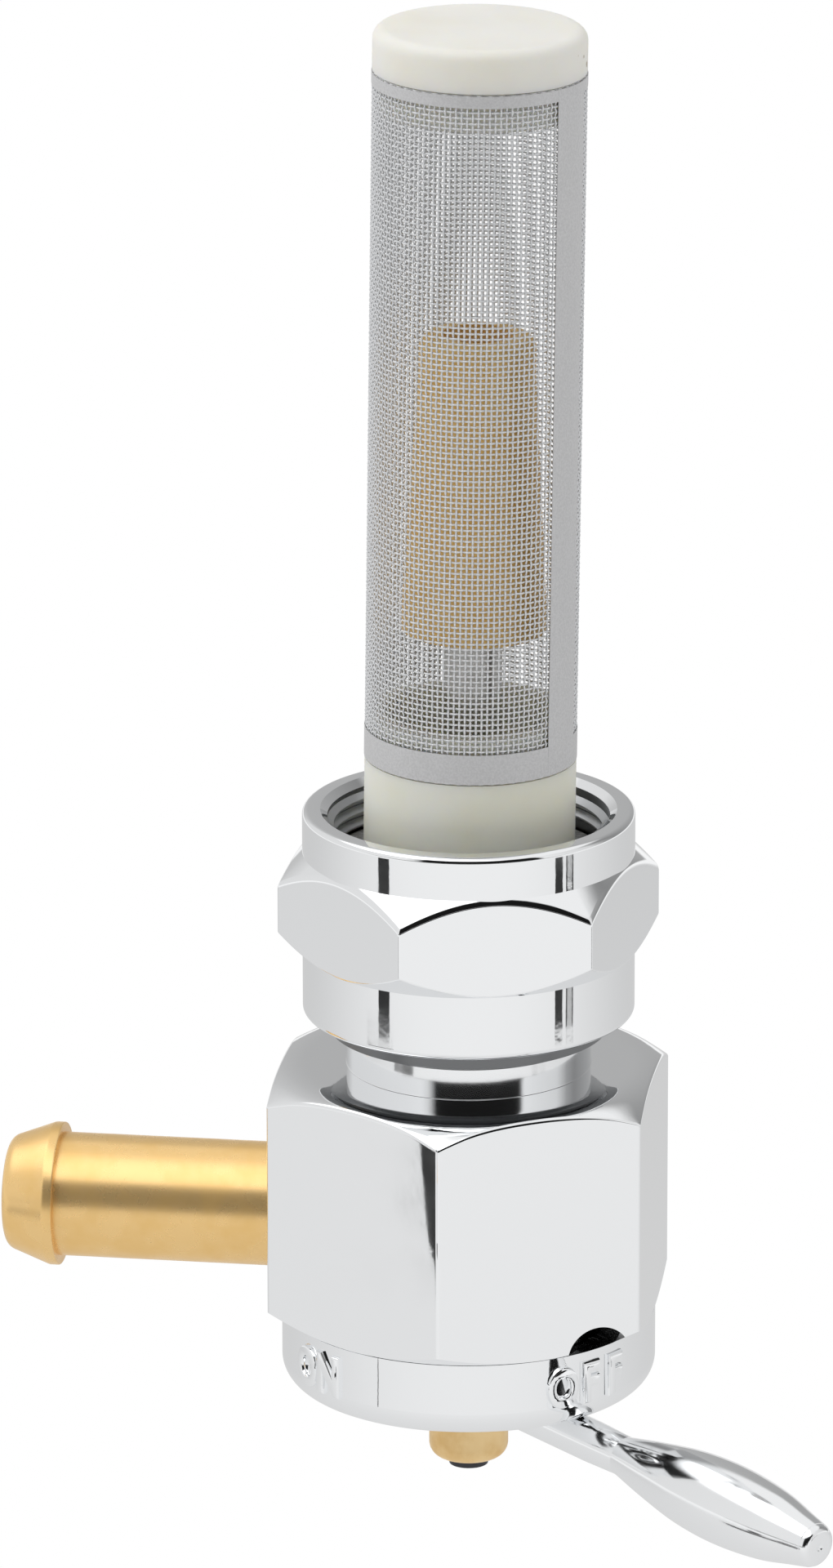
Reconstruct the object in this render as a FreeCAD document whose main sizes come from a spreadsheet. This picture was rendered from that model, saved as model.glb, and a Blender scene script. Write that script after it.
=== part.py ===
import FreeCAD, Part
import math
import os
import re

import Sketcher
from FreeCAD import Placement, Rotation, Vector

# Three-way fuel tap for a motorcycle tank, in millimetres.
# +Z is the valve axis, up into the tank. The origin is on that axis, level with the rim of the union nut.
# The hose spigot points along -X. Angles are counted from +X, anticlockwise seen from above.

os.makedirs("parts", exist_ok=True)
doc = FreeCAD.newDocument("fuel_tap")
sheet = doc.addObject("Spreadsheet::Sheet", "Sizes")

SIZES = [
    # union nut, a double-ended nut with a right-hand thread for the tank and a left-hand one for the tap
    ("nut_flats", 25.4),
    ("nut_height", 15.95),
    ("nut_ring_radius", 12.6),
    ("nut_upper_ring", 3.3),
    ("nut_lower_ring", 5.0),
    ("nut_bevel_drop", 1.85),
    ("nut_corner_round", 0.3),
    ("nut_rim_round", 0.45),
    ("nut_mouth_bevel", 0.55),
    ("nut_turned", -12.7),
    ("thread_radius", 10.675),
    ("thread_clearance", 0.075),
    ("tank_thread_depth", 3.8),
    # sealing washer on the neck
    ("gasket_thickness", 1.2),
    ("gasket_gap", 0.2),
    # valve body, a hexagon bar with a threaded neck above and a round boss below
    ("body_flats", 28.575),
    ("body_height", 19.45),
    ("body_gap", 4.2),
    ("body_top_radius", 14.2),
    ("body_top_drop", 1.65),
    ("body_foot_radius", 14.25),
    ("body_foot_drop", 1.3),
    ("body_corner_round", 0.35),
    ("neck_radius", 9.3),
    ("neck_relief", 2.4),
    ("neck_bevel", 0.5),
    ("neck_root_round", 0.6),
    ("well_radius", 8.15),
    ("boss_radius", 12.0),
    ("boss_length", 3.35),
    ("chamber_radius", 6.5),
    ("chamber_depth", 16.4),
    ("gland_radius", 4.65),
    ("gland_depth", 1.7),
    # screen filter, which leans a little in the neck
    ("screen_radius", 8.0),
    ("screen_lean", 0.75),
    ("screen_lean_towards", 8.2),
    ("screen_lean_depth", 6.0),
    ("collar_rise", 4.2),
    ("collar_length", 16.7),
    ("collar_bore_radius", 6.6),
    ("collar_spigot_radius", 7.66),
    ("collar_spigot_length", 3.6),
    ("mesh_length", 53.1),
    ("mesh_wall", 0.3),
    ("mesh_ridge", 0.1),
    ("mesh_ridge_width", 0.5),
    ("mesh_window_width", 3.0),
    ("mesh_seam_from", -45.0),
    ("mesh_seam_span", 38.0),
    ("mesh_gap", 0.05),
    ("screen_cap_height", 3.2),
    ("screen_cap_round", 0.9),
    ("screen_cap_plug", 3.0),
    ("screen_cap_recess_radius", 6.4),
    # standpipe, which takes the main supply above the reserve
    ("pipe_radius", 2.2),
    ("pipe_wall", 0.5),
    ("pipe_top", 33.9),
    ("pipe_gap", 0.06),
    ("pipe_lean_depth", 14.7),
    ("sleeve_foot", 14.2),
    ("sleeve_top", 37.1),
    ("sleeve_foot_radius", 5.43),
    ("sleeve_top_radius", 4.4),
    ("sleeve_head", 3.0),
    ("sleeve_lip", 1.0),
    ("sleeve_shoulder", 1.0),
    ("sleeve_mouth_radius", 2.7),
    ("sleeve_skirt", 2.0),
    # inlet seat pressed in the neck, with the two ports
    ("seat_length", 7.0),
    ("seat_gap", 0.05),
    ("socket_depth", 4.0),
    ("port_offset", 4.3),
    ("port_radius", 1.2),
    ("ring_groove_height", 2.0),
    ("ring_groove_depth", 1.2),
    ("ring_height", 1.4),
    ("ring_corner", 0.3),
    ("ring_slip", 0.02),
    ("port_seal_thickness", 1.1),
    # rotor, the barrel and stem that the lever turns
    ("rotor_gap", 0.1),
    ("rotor_clearance", 0.06),
    ("rotor_barrel", 9.5),
    ("rotor_ring_drop", 6.0),
    ("stem_radius", 3.04),
    ("stem_clearance", 0.06),
    ("stem_reach", 6.55),
    ("stem_round", 1.1),
    ("gland_washer_thickness", 0.6),
    ("spring_wire", 0.8),
    ("spring_turns", 3.0),
    # hose spigot
    ("spigot_drop", 12.35),
    ("spigot_radius", 4.75),
    ("spigot_bore_radius", 3.2),
    ("spigot_root", 7.8),
    ("spigot_tip", 36.2),
    ("barb_radius", 5.65),
    ("barb_back", 31.2),
    ("barb_back_slope", 0.45),
    ("barb_land", 0.7),
    ("barb_nose", 0.8),
    ("barb_tip_radius", 4.25),
    ("barb_end_radius", 3.75),
    # detent, whose drilling leaves the half-moon in the lower edge of the hexagon
    ("detent_angle", -41.0),
    ("detent_drop", 0.4),
    ("detent_drill_radius", 2.4),
    ("detent_bore_radius", 2.05),
    ("detent_bore_floor", 4.8),
    ("ball_radius", 2.0),
    ("ball_clearance", 0.05),
    ("click_depth", 0.5),
    ("click_radius", 2.2),
    ("detent_spring_radius", 1.85),
    ("detent_spring_wire", 0.35),
    ("detent_spring_turns", 5.0),
    # lever cap, the round cup with the words
    ("cap_radius", 14.3),
    ("cap_gap", 0.05),
    ("cap_height", 5.95),
    ("cap_floor", 2.35),
    ("cap_wall", 2.0),
    ("cap_foot_round", 2.0),
    ("cap_hub_gap", 0.05),
    # stop pin in the body and its curved groove in the cap
    ("stop_radius", 0.75),
    ("stop_angle", 135.0),
    ("stop_offset", 9.0),
    ("stop_reach", 1.0),
    ("stop_root", 3.5),
    ("stop_gap", 0.3),
    ("stop_groove_depth", 1.2),
    ("stop_swing", 90.0),
    # lever
    ("lever_angle", -38.5),
    ("lever_dip", 4.0),
    ("lever_drop", 0.78),
    ("lever_neck_radius", 1.62),
    ("lever_waist_radius", 1.52),
    ("lever_root", 1.6),
    ("lever_waist", 17.25),
    ("lever_swell_radius", 2.27),
    ("lever_swell", 20.75),
    ("lever_shoulder_radius", 2.94),
    ("lever_shoulder", 24.75),
    ("lever_belly_radius", 3.12),
    ("lever_belly", 28.8),
    ("lever_taper_radius", 2.75),
    ("lever_taper", 33.1),
    ("lever_wrist_radius", 2.06),
    ("lever_wrist", 36.2),
    ("lever_end_radius", 1.6),
    ("lever_end", 38.25),
    ("lever_end_round", 0.6),
    ("lever_gap", 0.05),
    ("screw_radius", 1.5),
    ("screw_proud", 0.65),
    # how far a drill or a groove tool runs on past the metal
    ("cut_past", 1.0),
]

# The mesh has this many windows round and up, which stand for the finer weave.
WINDOWS_ROUND = 12
WINDOWS_UP = 10

# Sketches are drawn roughly on a circle of this radius before their sizes take hold.
ROUGH_RADIUS = 10
TINY = 1e-6
UP = Vector(0, 0, 1)
SIDEWAYS = Vector(-1, 0, 0)

COLUMNS = {alias: f"A{row}" for row, (alias, value) in enumerate(SIZES, 1)}
for alias, value in SIZES:
    sheet.set(COLUMNS[alias], str(value))
    sheet.setAlias(COLUMNS[alias], alias)
doc.recompute()


def size(alias):
    return float(sheet.get(alias))


def bound(text):
    """The text of a formula with every size in it read from the sheet."""
    return re.sub(r"[a-z]+(?:_[a-z]+)+", lambda word: "Sizes." + word.group(0), text)


# Levels on the valve axis, as formulas
NUT_FOOT = "-nut_height"
NECK_TOP = "(-tank_thread_depth - gasket_thickness)"
BODY_TOP = "(-nut_height - body_gap)"
BODY_FOOT = f"({BODY_TOP} - body_height)"
BOSS_FOOT = f"({BODY_FOOT} - boss_length)"
COLLAR_FOOT = "(collar_rise - collar_length)"
SEAT_TOP = f"({COLLAR_FOOT} - gasket_gap)"
SEAT_FOOT = f"({SEAT_TOP} - seat_length)"
CHAMBER_FOOT = f"({SEAT_FOOT} - chamber_depth)"
ROTOR_TOP = f"({SEAT_FOOT} - port_seal_thickness - rotor_gap)"
BARREL_FOOT = f"({ROTOR_TOP} - rotor_barrel)"
SPIGOT_LEVEL = f"({BODY_TOP} - spigot_drop)"
DETENT_LEVEL = f"({BODY_FOOT} - detent_drop)"
CAP_TOP = f"({BODY_FOOT} - cap_gap)"
CAP_FOOT = f"({CAP_TOP} - cap_height)"
CAP_FLOOR = f"({CAP_FOOT} + cap_floor)"
LEVER_LEVEL = f"({CAP_FOOT} - lever_drop)"
STEM_FOOT = f"({CAP_FOOT} - stem_reach)"
MESH_TOP = "(collar_rise + mesh_gap + mesh_length)"


def outwards(angle):
    return Vector(math.cos(math.radians(angle)), math.sin(math.radians(angle)), 0)


def place(item, path, text):
    item.setExpression(path, bound(text))


def origin_plane(body, role):
    return next(item for item in body.Origin.OriginFeatures if item.Role == role)


def new_sketch(body, name, role):
    sketch = body.newObject("Sketcher::SketchObject", name)
    sketch.AttachmentSupport = (origin_plane(body, role), [""])
    sketch.MapMode = "FlatFace"
    return sketch


def draw_outline(sketch, corners):
    """Closes a line through corners, each a pair of formulas, drawn roughly and then held by its sizes."""
    count = len(corners)
    first = sketch.GeometryCount
    rough = [outwards(360 * index / count) * ROUGH_RADIUS for index in range(count)]
    for index in range(count):
        sketch.addGeometry(Part.LineSegment(rough[index], rough[(index + 1) % count]), False)
    for index in range(count):
        after = first + (index + 1) % count
        sketch.addConstraint(Sketcher.Constraint("Coincident", first + index, 2, after, 1))
    for index, (across, up) in enumerate(corners):
        for kind, text, value in (("DistanceX", across, rough[index].x), ("DistanceY", up, rough[index].y)):
            held = sketch.addConstraint(Sketcher.Constraint(kind, -1, 1, first + index, 1, value))
            place(sketch, f"Constraints[{held}]", text)


def spin(body, name, corners, kind="PartDesign::Revolution", axis="V_Axis"):
    """Turns an outline of (radius, level) corners about the piece's own axis, to add metal or to cut it."""
    sketch = new_sketch(body, name + "_outline", "XZ_Plane")
    draw_outline(sketch, corners)
    feature = body.newObject(kind, name)
    feature.Profile = sketch
    feature.ReferenceAxis = (sketch, [axis])
    feature.Angle = 360
    return feature


def turned(label, corners, axis="V_Axis"):
    body = doc.addObject("PartDesign::Body", label)
    spin(body, label + "_turned", corners, axis=axis)
    doc.recompute()
    return body


def edge_names(shape, wanted):
    return [f"Edge{number}" for number, edge in enumerate(shape.Edges, 1) if wanted(edge)]


def upright(edge):
    low, high = edge.BoundBox.ZMin, edge.BoundBox.ZMax
    return isinstance(edge.Curve, Part.Line) and edge.Length - (high - low) < TINY


def end_rim(shape, side, outer=True):
    """The widest or narrowest round edge at the top (side 1) or the foot (side -1) of a shape."""
    rims = [edge for edge in shape.Edges if isinstance(edge.Curve, Part.Circle)]
    end = max(side * edge.Curve.Center.z for edge in rims)
    rims = [edge for edge in rims if side * edge.Curve.Center.z > end - TINY]
    pick = max if outer else min
    rim = pick(rims, key=lambda edge: edge.Curve.Radius)
    return edge_names(shape, lambda edge: edge.isSame(rim))


def dress(body, kind, name, names, path, text):
    """Rounds (Fillet, Radius) or bevels (Chamfer, Size) the named edges of the body's tip."""
    base = body.Tip
    feature = body.newObject(kind, name)
    feature.Base = (base, names)
    place(feature, path, text)
    doc.recompute()
    return feature


def hexagon(body, name, flats, foot, height, corner_round):
    """A hexagon bar with two flats square to X and its upright corners rounded."""
    half = f"{flats} / 2"
    side = f"{flats} / 2 / sqrt(3)"
    point = f"{flats} / sqrt(3)"
    sketch = new_sketch(body, name + "_outline", "XY_Plane")
    draw_outline(
        sketch,
        [
            (half, side),
            ("0", point),
            (f"-{half}", side),
            (f"-{half}", f"-{side}"),
            ("0", f"-{point}"),
            (half, f"-{side}"),
        ],
    )
    place(sketch, "AttachmentOffset.Base.z", foot)
    bar = body.newObject("PartDesign::Pad", name)
    bar.Profile = sketch
    place(bar, "Length", height)
    doc.recompute()
    corners = edge_names(bar.Shape, upright)
    dress(body, "PartDesign::Fillet", name + "_corners", corners, "Radius", corner_round)


def bevel_hexagon(body, name, flats, ring, level, drop, side):
    """Turns the corners of a hexagon down to a cone that starts at ring on the face at level."""
    beyond = f"({flats} / sqrt(3) + {ring}) / 2"
    reach = f"{drop} * ({beyond} - {ring}) / ({flats} / sqrt(3) - {ring})"
    outside = f"{flats} / sqrt(3) * 2 - {ring}"
    spin(
        body,
        name,
        [
            (ring, level),
            (beyond, f"{level} - ({side}) * {reach}"),
            (outside, f"{level} - ({side}) * {drop} * 2"),
            (outside, level),
        ],
        "PartDesign::Groove",
    )
    doc.recompute()


def drill(label, radius, length, base, direction):
    """A cylinder that stands for a drilled hole, from a base point of formulas along a direction."""
    tool = doc.addObject("Part::Cylinder", label)
    tool.Placement = Placement(Vector(0, 0, 0), Rotation(Vector(0, 0, 1), direction))
    place(tool, "Radius", radius)
    place(tool, "Height", length)
    for letter, text in zip("xyz", base):
        place(tool, f"Placement.Base.{letter}", text)
    return tool


def cut_away(label, base, tools):
    """The base with every tool cut out of it."""
    base.Label = label + "_blank"
    result = doc.addObject("Part::Cut", label)
    result.Base = base
    if len(tools) == 1:
        result.Tool = tools[0]
    else:
        joined = doc.addObject("Part::MultiFuse", label + "_cuts")
        joined.Shapes = tools
        result.Tool = joined
    result.Label = label
    return result


def around(angle, radius):
    """The formulas for X and Y of a point at an angle round the valve axis."""
    return f"({radius}) * cos({angle})", f"({radius}) * sin({angle})"


def on_lever(reach):
    """The formulas for a point of the lever's axis, which dips outwards, at a reach from the valve axis."""
    across, along = around("lever_angle", f"({reach}) * cos(lever_dip)")
    return across, along, f"{LEVER_LEVEL} - ({reach}) * sin(lever_dip)"


def ring_seal(label, inner, outer, foot, top):
    """A rubber ring, squeezed flat on all four sides by its groove and round at the corners between."""
    cut = f"(({outer}) - ({inner})) * ring_corner"
    turned(
        label,
        [
            (inner, f"{foot} + {cut}"),
            (f"{inner} + {cut}", foot),
            (f"{outer} - {cut}", foot),
            (outer, f"{foot} + {cut}"),
            (outer, f"{top} - {cut}"),
            (f"{outer} - {cut}", top),
            (f"{inner} + {cut}", top),
            (inner, f"{top} - {cut}"),
        ],
    )


def coil(label, radius, wire, length, turns, base, direction):
    """A helical spring of square wire with open ends. The base is half a wire in from its first end."""
    rise = length - wire
    helix = Part.makeHelix(rise / turns, rise, radius)
    inner, outer, half = radius - wire / 2, radius + wire / 2, wire / 2
    section = [(inner, -half), (outer, -half), (outer, half), (inner, half), (inner, -half)]
    start = Part.makePolygon([Vector(across, 0, up) for across, up in section])
    spring = doc.addObject("Part::Feature", label)
    spring.Shape = Part.Wire(helix.Edges).makePipeShell([start], True, True)
    spring.Placement = Placement(Vector(0, 0, 0), Rotation(Vector(0, 0, 1), direction))
    for letter, text in zip("xyz", base):
        place(spring, f"Placement.Base.{letter}", text)


def lean(piece, depth):
    """Tips a piece of the screen or the standpipe over a little, about a point at a depth in the neck."""
    towards = math.radians(size("screen_lean_towards"))
    tilt = Rotation(Vector(-math.sin(towards), math.cos(towards), 0), size("screen_lean"))
    pivot = Vector(0, 0, -size(depth))
    piece.Placement = Placement(pivot - tilt.multVec(pivot), tilt)


# Union nut: chrome, hexagon in the middle, a round ring above and below
union_nut = doc.addObject("PartDesign::Body", "union_nut")
nut_hex_top = "-nut_upper_ring"
nut_hex_foot = f"({NUT_FOOT} + nut_lower_ring)"
hexagon(
    union_nut,
    "nut_hexagon",
    "nut_flats",
    nut_hex_foot,
    "nut_height - nut_upper_ring - nut_lower_ring",
    "nut_corner_round",
)
for name, level, side in (("nut_top_bevel", nut_hex_top, "1"), ("nut_foot_bevel", nut_hex_foot, "-1")):
    bevel_hexagon(union_nut, name, "nut_flats", "nut_ring_radius", level, "nut_bevel_drop", side)
spin(
    union_nut,
    "nut_rings",
    [("0", "0"), ("nut_ring_radius", "0"), ("nut_ring_radius", NUT_FOOT), ("0", NUT_FOOT)],
)
doc.recompute()
for side, name in ((1, "nut_rim"), (-1, "nut_foot")):
    dress(union_nut, "PartDesign::Fillet", name, end_rim(union_nut.Shape, side), "Radius", "nut_rim_round")
mouth = "thread_radius + nut_mouth_bevel"
spin(
    union_nut,
    "nut_bore",
    [
        ("0", "0"),
        (mouth, "0"),
        ("thread_radius", "-nut_mouth_bevel"),
        ("thread_radius", f"{NUT_FOOT} + nut_mouth_bevel"),
        (mouth, NUT_FOOT),
        ("0", NUT_FOOT),
    ],
    "PartDesign::Groove",
)
union_nut.Placement = Placement(Vector(0, 0, 0), Rotation(Vector(0, 0, 1), size("nut_turned")))

# Sealing washer: lies on the neck inside the nut, and the tank's bung comes down on it
gasket_bore = "well_radius + gasket_gap"
gasket_edge = "thread_radius - thread_clearance - gasket_gap"
turned(
    "neck_gasket",
    [
        (gasket_bore, NECK_TOP),
        (gasket_edge, NECK_TOP),
        (gasket_edge, "-tank_thread_depth"),
        (gasket_bore, "-tank_thread_depth"),
    ],
)

# Valve body: chrome-plated hexagon bar with a threaded neck above, a boss below and a stepped bore
valve_blank = doc.addObject("PartDesign::Body", "valve_blank")
hexagon(valve_blank, "body_hexagon", "body_flats", BODY_FOOT, "body_height", "body_corner_round")
for end, level, side in (("top", BODY_TOP, "1"), ("foot", BODY_FOOT, "-1")):
    name = f"body_{end}_bevel"
    bevel_hexagon(valve_blank, name, "body_flats", f"body_{end}_radius", level, f"body_{end}_drop", side)
neck_thread = "thread_radius - thread_clearance"
land_foot = f"{BODY_TOP} + neck_relief"
spin(
    valve_blank,
    "neck_and_boss",
    [
        ("0", NECK_TOP),
        (f"{neck_thread} - neck_bevel", NECK_TOP),
        (neck_thread, f"{NECK_TOP} - neck_bevel"),
        (neck_thread, f"{land_foot} + neck_bevel"),
        ("neck_radius", land_foot),
        ("neck_radius", f"{BODY_TOP} - neck_bevel"),
        ("boss_radius", f"{BODY_TOP} - neck_bevel"),
        ("boss_radius", f"{BOSS_FOOT} + neck_bevel"),
        ("boss_radius - neck_bevel", BOSS_FOOT),
        ("0", BOSS_FOOT),
    ],
)
doc.recompute()
top_level = -size("nut_height") - size("body_gap")
neck_root = edge_names(
    valve_blank.Shape,
    lambda edge: isinstance(edge.Curve, Part.Circle)
    and abs(edge.Curve.Center.z - top_level) < TINY
    and abs(edge.Curve.Radius - size("neck_radius")) < TINY,
)
dress(valve_blank, "PartDesign::Fillet", "neck_root", neck_root, "Radius", "neck_root_round")
spin(
    valve_blank,
    "stepped_bore",
    [
        ("0", NECK_TOP),
        ("well_radius", NECK_TOP),
        ("well_radius", SEAT_FOOT),
        ("chamber_radius", SEAT_FOOT),
        ("chamber_radius", CHAMBER_FOOT),
        ("gland_radius", CHAMBER_FOOT),
        ("gland_radius", f"{CHAMBER_FOOT} - gland_depth"),
        ("stem_radius + stem_clearance", f"{CHAMBER_FOOT} - gland_depth"),
        ("stem_radius + stem_clearance", BOSS_FOOT),
        ("0", BOSS_FOOT),
    ],
    "PartDesign::Groove",
)
doc.recompute()
detent_way = outwards(size("detent_angle"))
stop_place = around("stop_angle", "stop_offset")
cut_away(
    "valve_body",
    valve_blank,
    [
        drill("spigot_hole", "spigot_radius", "body_flats", ("-spigot_root", "0", SPIGOT_LEVEL), SIDEWAYS),
        drill(
            "outlet_hole",
            "spigot_bore_radius",
            "spigot_root + cut_past",
            ("0", "0", SPIGOT_LEVEL),
            SIDEWAYS,
        ),
        drill(
            "detent_bore",
            "detent_bore_radius",
            "boss_radius",
            (*around("detent_angle", "detent_bore_floor"), DETENT_LEVEL),
            detent_way,
        ),
        drill(
            "detent_notch",
            "detent_drill_radius",
            "body_flats",
            (*around("detent_angle", "boss_radius - neck_bevel"), DETENT_LEVEL),
            detent_way,
        ),
        drill(
            "stop_hole",
            "stop_radius",
            "stop_root + cut_past",
            (*stop_place, f"{BOSS_FOOT} - cut_past"),
            UP,
        ),
    ],
)

# Hose spigot: brass pipe with one barb, pressed into the body
spigot = turned(
    "hose_spigot",
    [
        ("-spigot_root", "spigot_bore_radius"),
        ("-spigot_root", "spigot_radius"),
        ("-barb_back", "spigot_radius"),
        ("-barb_back - barb_back_slope", "barb_radius"),
        ("-barb_back - barb_back_slope - barb_land", "barb_radius"),
        ("-spigot_tip + barb_nose", "barb_tip_radius"),
        ("-spigot_tip", "barb_end_radius"),
        ("-spigot_tip", "spigot_bore_radius"),
    ],
    axis="H_Axis",
)
place(spigot, "Placement.Base.z", SPIGOT_LEVEL)

# Screen collar: nylon, seated in the neck, with a thinner spigot that the mesh is fixed over
screen_collar = turned(
    "screen_collar",
    [
        ("collar_bore_radius", COLLAR_FOOT),
        ("screen_radius", COLLAR_FOOT),
        ("screen_radius", "collar_rise"),
        ("collar_spigot_radius", "collar_rise"),
        ("collar_spigot_radius", "collar_rise + collar_spigot_length"),
        ("collar_bore_radius", "collar_rise + collar_spigot_length"),
    ],
)
lean(screen_collar, "screen_lean_depth")

# Screen mesh: a rolled sheet of woven wire. Rings and windows stand for its weave, a thick strip for its seam
screen_mesh = doc.addObject("PartDesign::Body", "screen_mesh")
mesh_foot = "(collar_rise + mesh_gap)"
mesh_skin = "screen_radius - mesh_ridge"
mesh_bore = "screen_radius - mesh_wall"
mesh_pitch = f"(mesh_length - mesh_ridge_width) / {WINDOWS_UP}"
ridged = []
for row in range(WINDOWS_UP + 1):
    ring_foot = f"{mesh_foot} + {row} * {mesh_pitch}"
    if row:
        ridged.append((mesh_skin, ring_foot))
    ridged.append(("screen_radius", ring_foot))
    ridged.append(("screen_radius", f"{ring_foot} + mesh_ridge_width"))
    if row < WINDOWS_UP:
        ridged.append((mesh_skin, f"{ring_foot} + mesh_ridge_width"))
spin(screen_mesh, "mesh_wall_turned", [(mesh_bore, mesh_foot), *ridged, (mesh_bore, MESH_TOP)])
seam = spin(
    screen_mesh,
    "mesh_seam",
    [
        (mesh_bore, mesh_foot),
        ("screen_radius", mesh_foot),
        ("screen_radius", MESH_TOP),
        (mesh_bore, MESH_TOP),
    ],
)
seam_sketch = seam.Profile[0]
seam_sketch.AttachmentOffset = Placement(Vector(0, 0, 0), Rotation(Vector(0, 1, 0), size("mesh_seam_from")))
place(seam, "Angle", "mesh_seam_span")
doc.recompute()
window_turn = (360 - size("mesh_seam_span")) / WINDOWS_ROUND
first_window = size("mesh_seam_from") + size("mesh_seam_span") + window_turn / 2
window_sketch = new_sketch(screen_mesh, "window_outlines", "XZ_Plane")
window_sketch.AttachmentOffset = Placement(Vector(0, 0, 0), Rotation(Vector(0, 1, 0), first_window - 90))
for row in range(WINDOWS_UP):
    low = f"{mesh_foot} + mesh_ridge_width + {row} * {mesh_pitch}"
    high = f"{mesh_foot} + {row + 1} * {mesh_pitch}"
    half = "mesh_window_width / 2"
    draw_outline(window_sketch, [(f"-{half}", low), (half, low), (half, high), (f"-{half}", high)])
windows = screen_mesh.newObject("PartDesign::Pocket", "windows")
windows.Profile = window_sketch
place(windows, "Length", "screen_radius + cut_past")
doc.recompute()
around_mesh = screen_mesh.newObject("PartDesign::PolarPattern", "windows_round")
around_mesh.Originals = [windows]
around_mesh.Axis = (window_sketch, ["V_Axis"])
around_mesh.Angle = window_turn * (WINDOWS_ROUND - 1)
around_mesh.Occurrences = WINDOWS_ROUND
screen_mesh.Tip = around_mesh
doc.recompute()
lean(screen_mesh, "screen_lean_depth")

# Screen cap: nylon lid with a plug inside the mesh
cap_foot = f"({MESH_TOP} + mesh_gap)"
cap_plug_radius = "screen_radius - mesh_wall - mesh_gap"
screen_cap = turned(
    "screen_cap",
    [
        ("0", f"{cap_foot} + screen_cap_height"),
        ("screen_radius", f"{cap_foot} + screen_cap_height"),
        ("screen_radius", cap_foot),
        (cap_plug_radius, cap_foot),
        (cap_plug_radius, f"{cap_foot} - screen_cap_plug"),
        ("screen_cap_recess_radius", f"{cap_foot} - screen_cap_plug"),
        ("screen_cap_recess_radius", cap_foot),
        ("0", cap_foot),
    ],
)
cap_rim = end_rim(screen_cap.Shape, 1)
dress(screen_cap, "PartDesign::Fillet", "cap_edge", cap_rim, "Radius", "screen_cap_round")
lean(screen_cap, "screen_lean_depth")

# Standpipe: thin steel tube, its foot in the inlet seat
pipe_bore = "pipe_radius - pipe_wall"
pipe_foot = f"{SEAT_TOP} - socket_depth + gasket_gap"
standpipe = turned(
    "standpipe",
    [
        (pipe_bore, pipe_foot),
        ("pipe_radius", pipe_foot),
        ("pipe_radius", "pipe_top"),
        (pipe_bore, "pipe_top"),
    ],
)
lean(standpipe, "pipe_lean_depth")

# Standpipe sleeve: turned brass, wider at its foot, hollow below like a skirt
grip = "pipe_radius + mesh_gap"
standpipe_sleeve = turned(
    "standpipe_sleeve",
    [
        (grip, "sleeve_foot + sleeve_skirt"),
        ("sleeve_foot_radius - sleeve_lip", "sleeve_foot"),
        ("sleeve_foot_radius", "sleeve_foot"),
        ("sleeve_foot_radius", "sleeve_foot + sleeve_skirt"),
        ("sleeve_top_radius", "sleeve_top - sleeve_head"),
        ("sleeve_top_radius", "sleeve_top"),
        ("sleeve_mouth_radius", "sleeve_top"),
        ("sleeve_mouth_radius", "pipe_top + gasket_gap"),
        (grip, "pipe_top + gasket_gap"),
    ],
)
dress(
    standpipe_sleeve,
    "PartDesign::Fillet",
    "sleeve_edge",
    end_rim(standpipe_sleeve.Shape, 1),
    "Radius",
    "sleeve_shoulder",
)
lean(standpipe_sleeve, "pipe_lean_depth")

# Inlet seat: brass plug at the foot of the neck. One port comes from the standpipe, the other from round it
seat_edge = "well_radius - seat_gap"
groove_low = f"{SEAT_TOP} - seat_length / 2 - ring_groove_height / 2"
groove_high = f"{groove_low} + ring_groove_height"
seat_blank = turned(
    "seat_blank",
    [
        ("0", SEAT_TOP),
        (seat_edge, SEAT_TOP),
        (seat_edge, groove_high),
        (f"{seat_edge} - ring_groove_depth", groove_high),
        (f"{seat_edge} - ring_groove_depth", groove_low),
        (seat_edge, groove_low),
        (seat_edge, SEAT_FOOT),
        ("0", SEAT_FOOT),
    ],
)
port_fall = size("seat_length") - size("socket_depth")
port_way = Vector(0, -size("port_offset"), -port_fall)
main_port = drill(
    "main_port",
    "port_radius",
    f"(seat_length - socket_depth) * {port_way.Length / port_fall} + port_radius",
    ("0", "0", f"{SEAT_TOP} - socket_depth"),
    port_way,
)
reserve_port = drill(
    "reserve_port",
    "port_radius",
    "seat_length + cut_past * 2",
    ("0", "port_offset", f"{SEAT_FOOT} - cut_past"),
    UP,
)
socket = drill(
    "socket",
    "pipe_radius + pipe_gap",
    "socket_depth + cut_past",
    ("0", "0", f"{SEAT_TOP} - socket_depth"),
    UP,
)
cut_away("inlet_seat", seat_blank, [main_port, reserve_port, socket])

# Rings of round section: in the seat's groove, in the rotor's groove and under the gland washer
seat_ring_level = f"{SEAT_TOP} - seat_length / 2"
ring_seal(
    "seat_ring",
    f"{seat_edge} - ring_groove_depth",
    "well_radius",
    f"{seat_ring_level} - ring_height / 2",
    f"{seat_ring_level} + ring_height / 2",
)
rotor_ring_level = f"{ROTOR_TOP} - rotor_ring_drop"
ring_seal(
    "rotor_ring",
    "chamber_radius - rotor_clearance - ring_groove_depth",
    "chamber_radius - ring_slip",
    f"{rotor_ring_level} - ring_height / 2",
    f"{rotor_ring_level} + ring_height / 2",
)
ring_seal(
    "stem_ring",
    "stem_radius + stem_clearance",
    "gland_radius",
    f"{CHAMBER_FOOT} - gland_depth",
    f"{CHAMBER_FOOT} - ring_slip",
)

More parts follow.
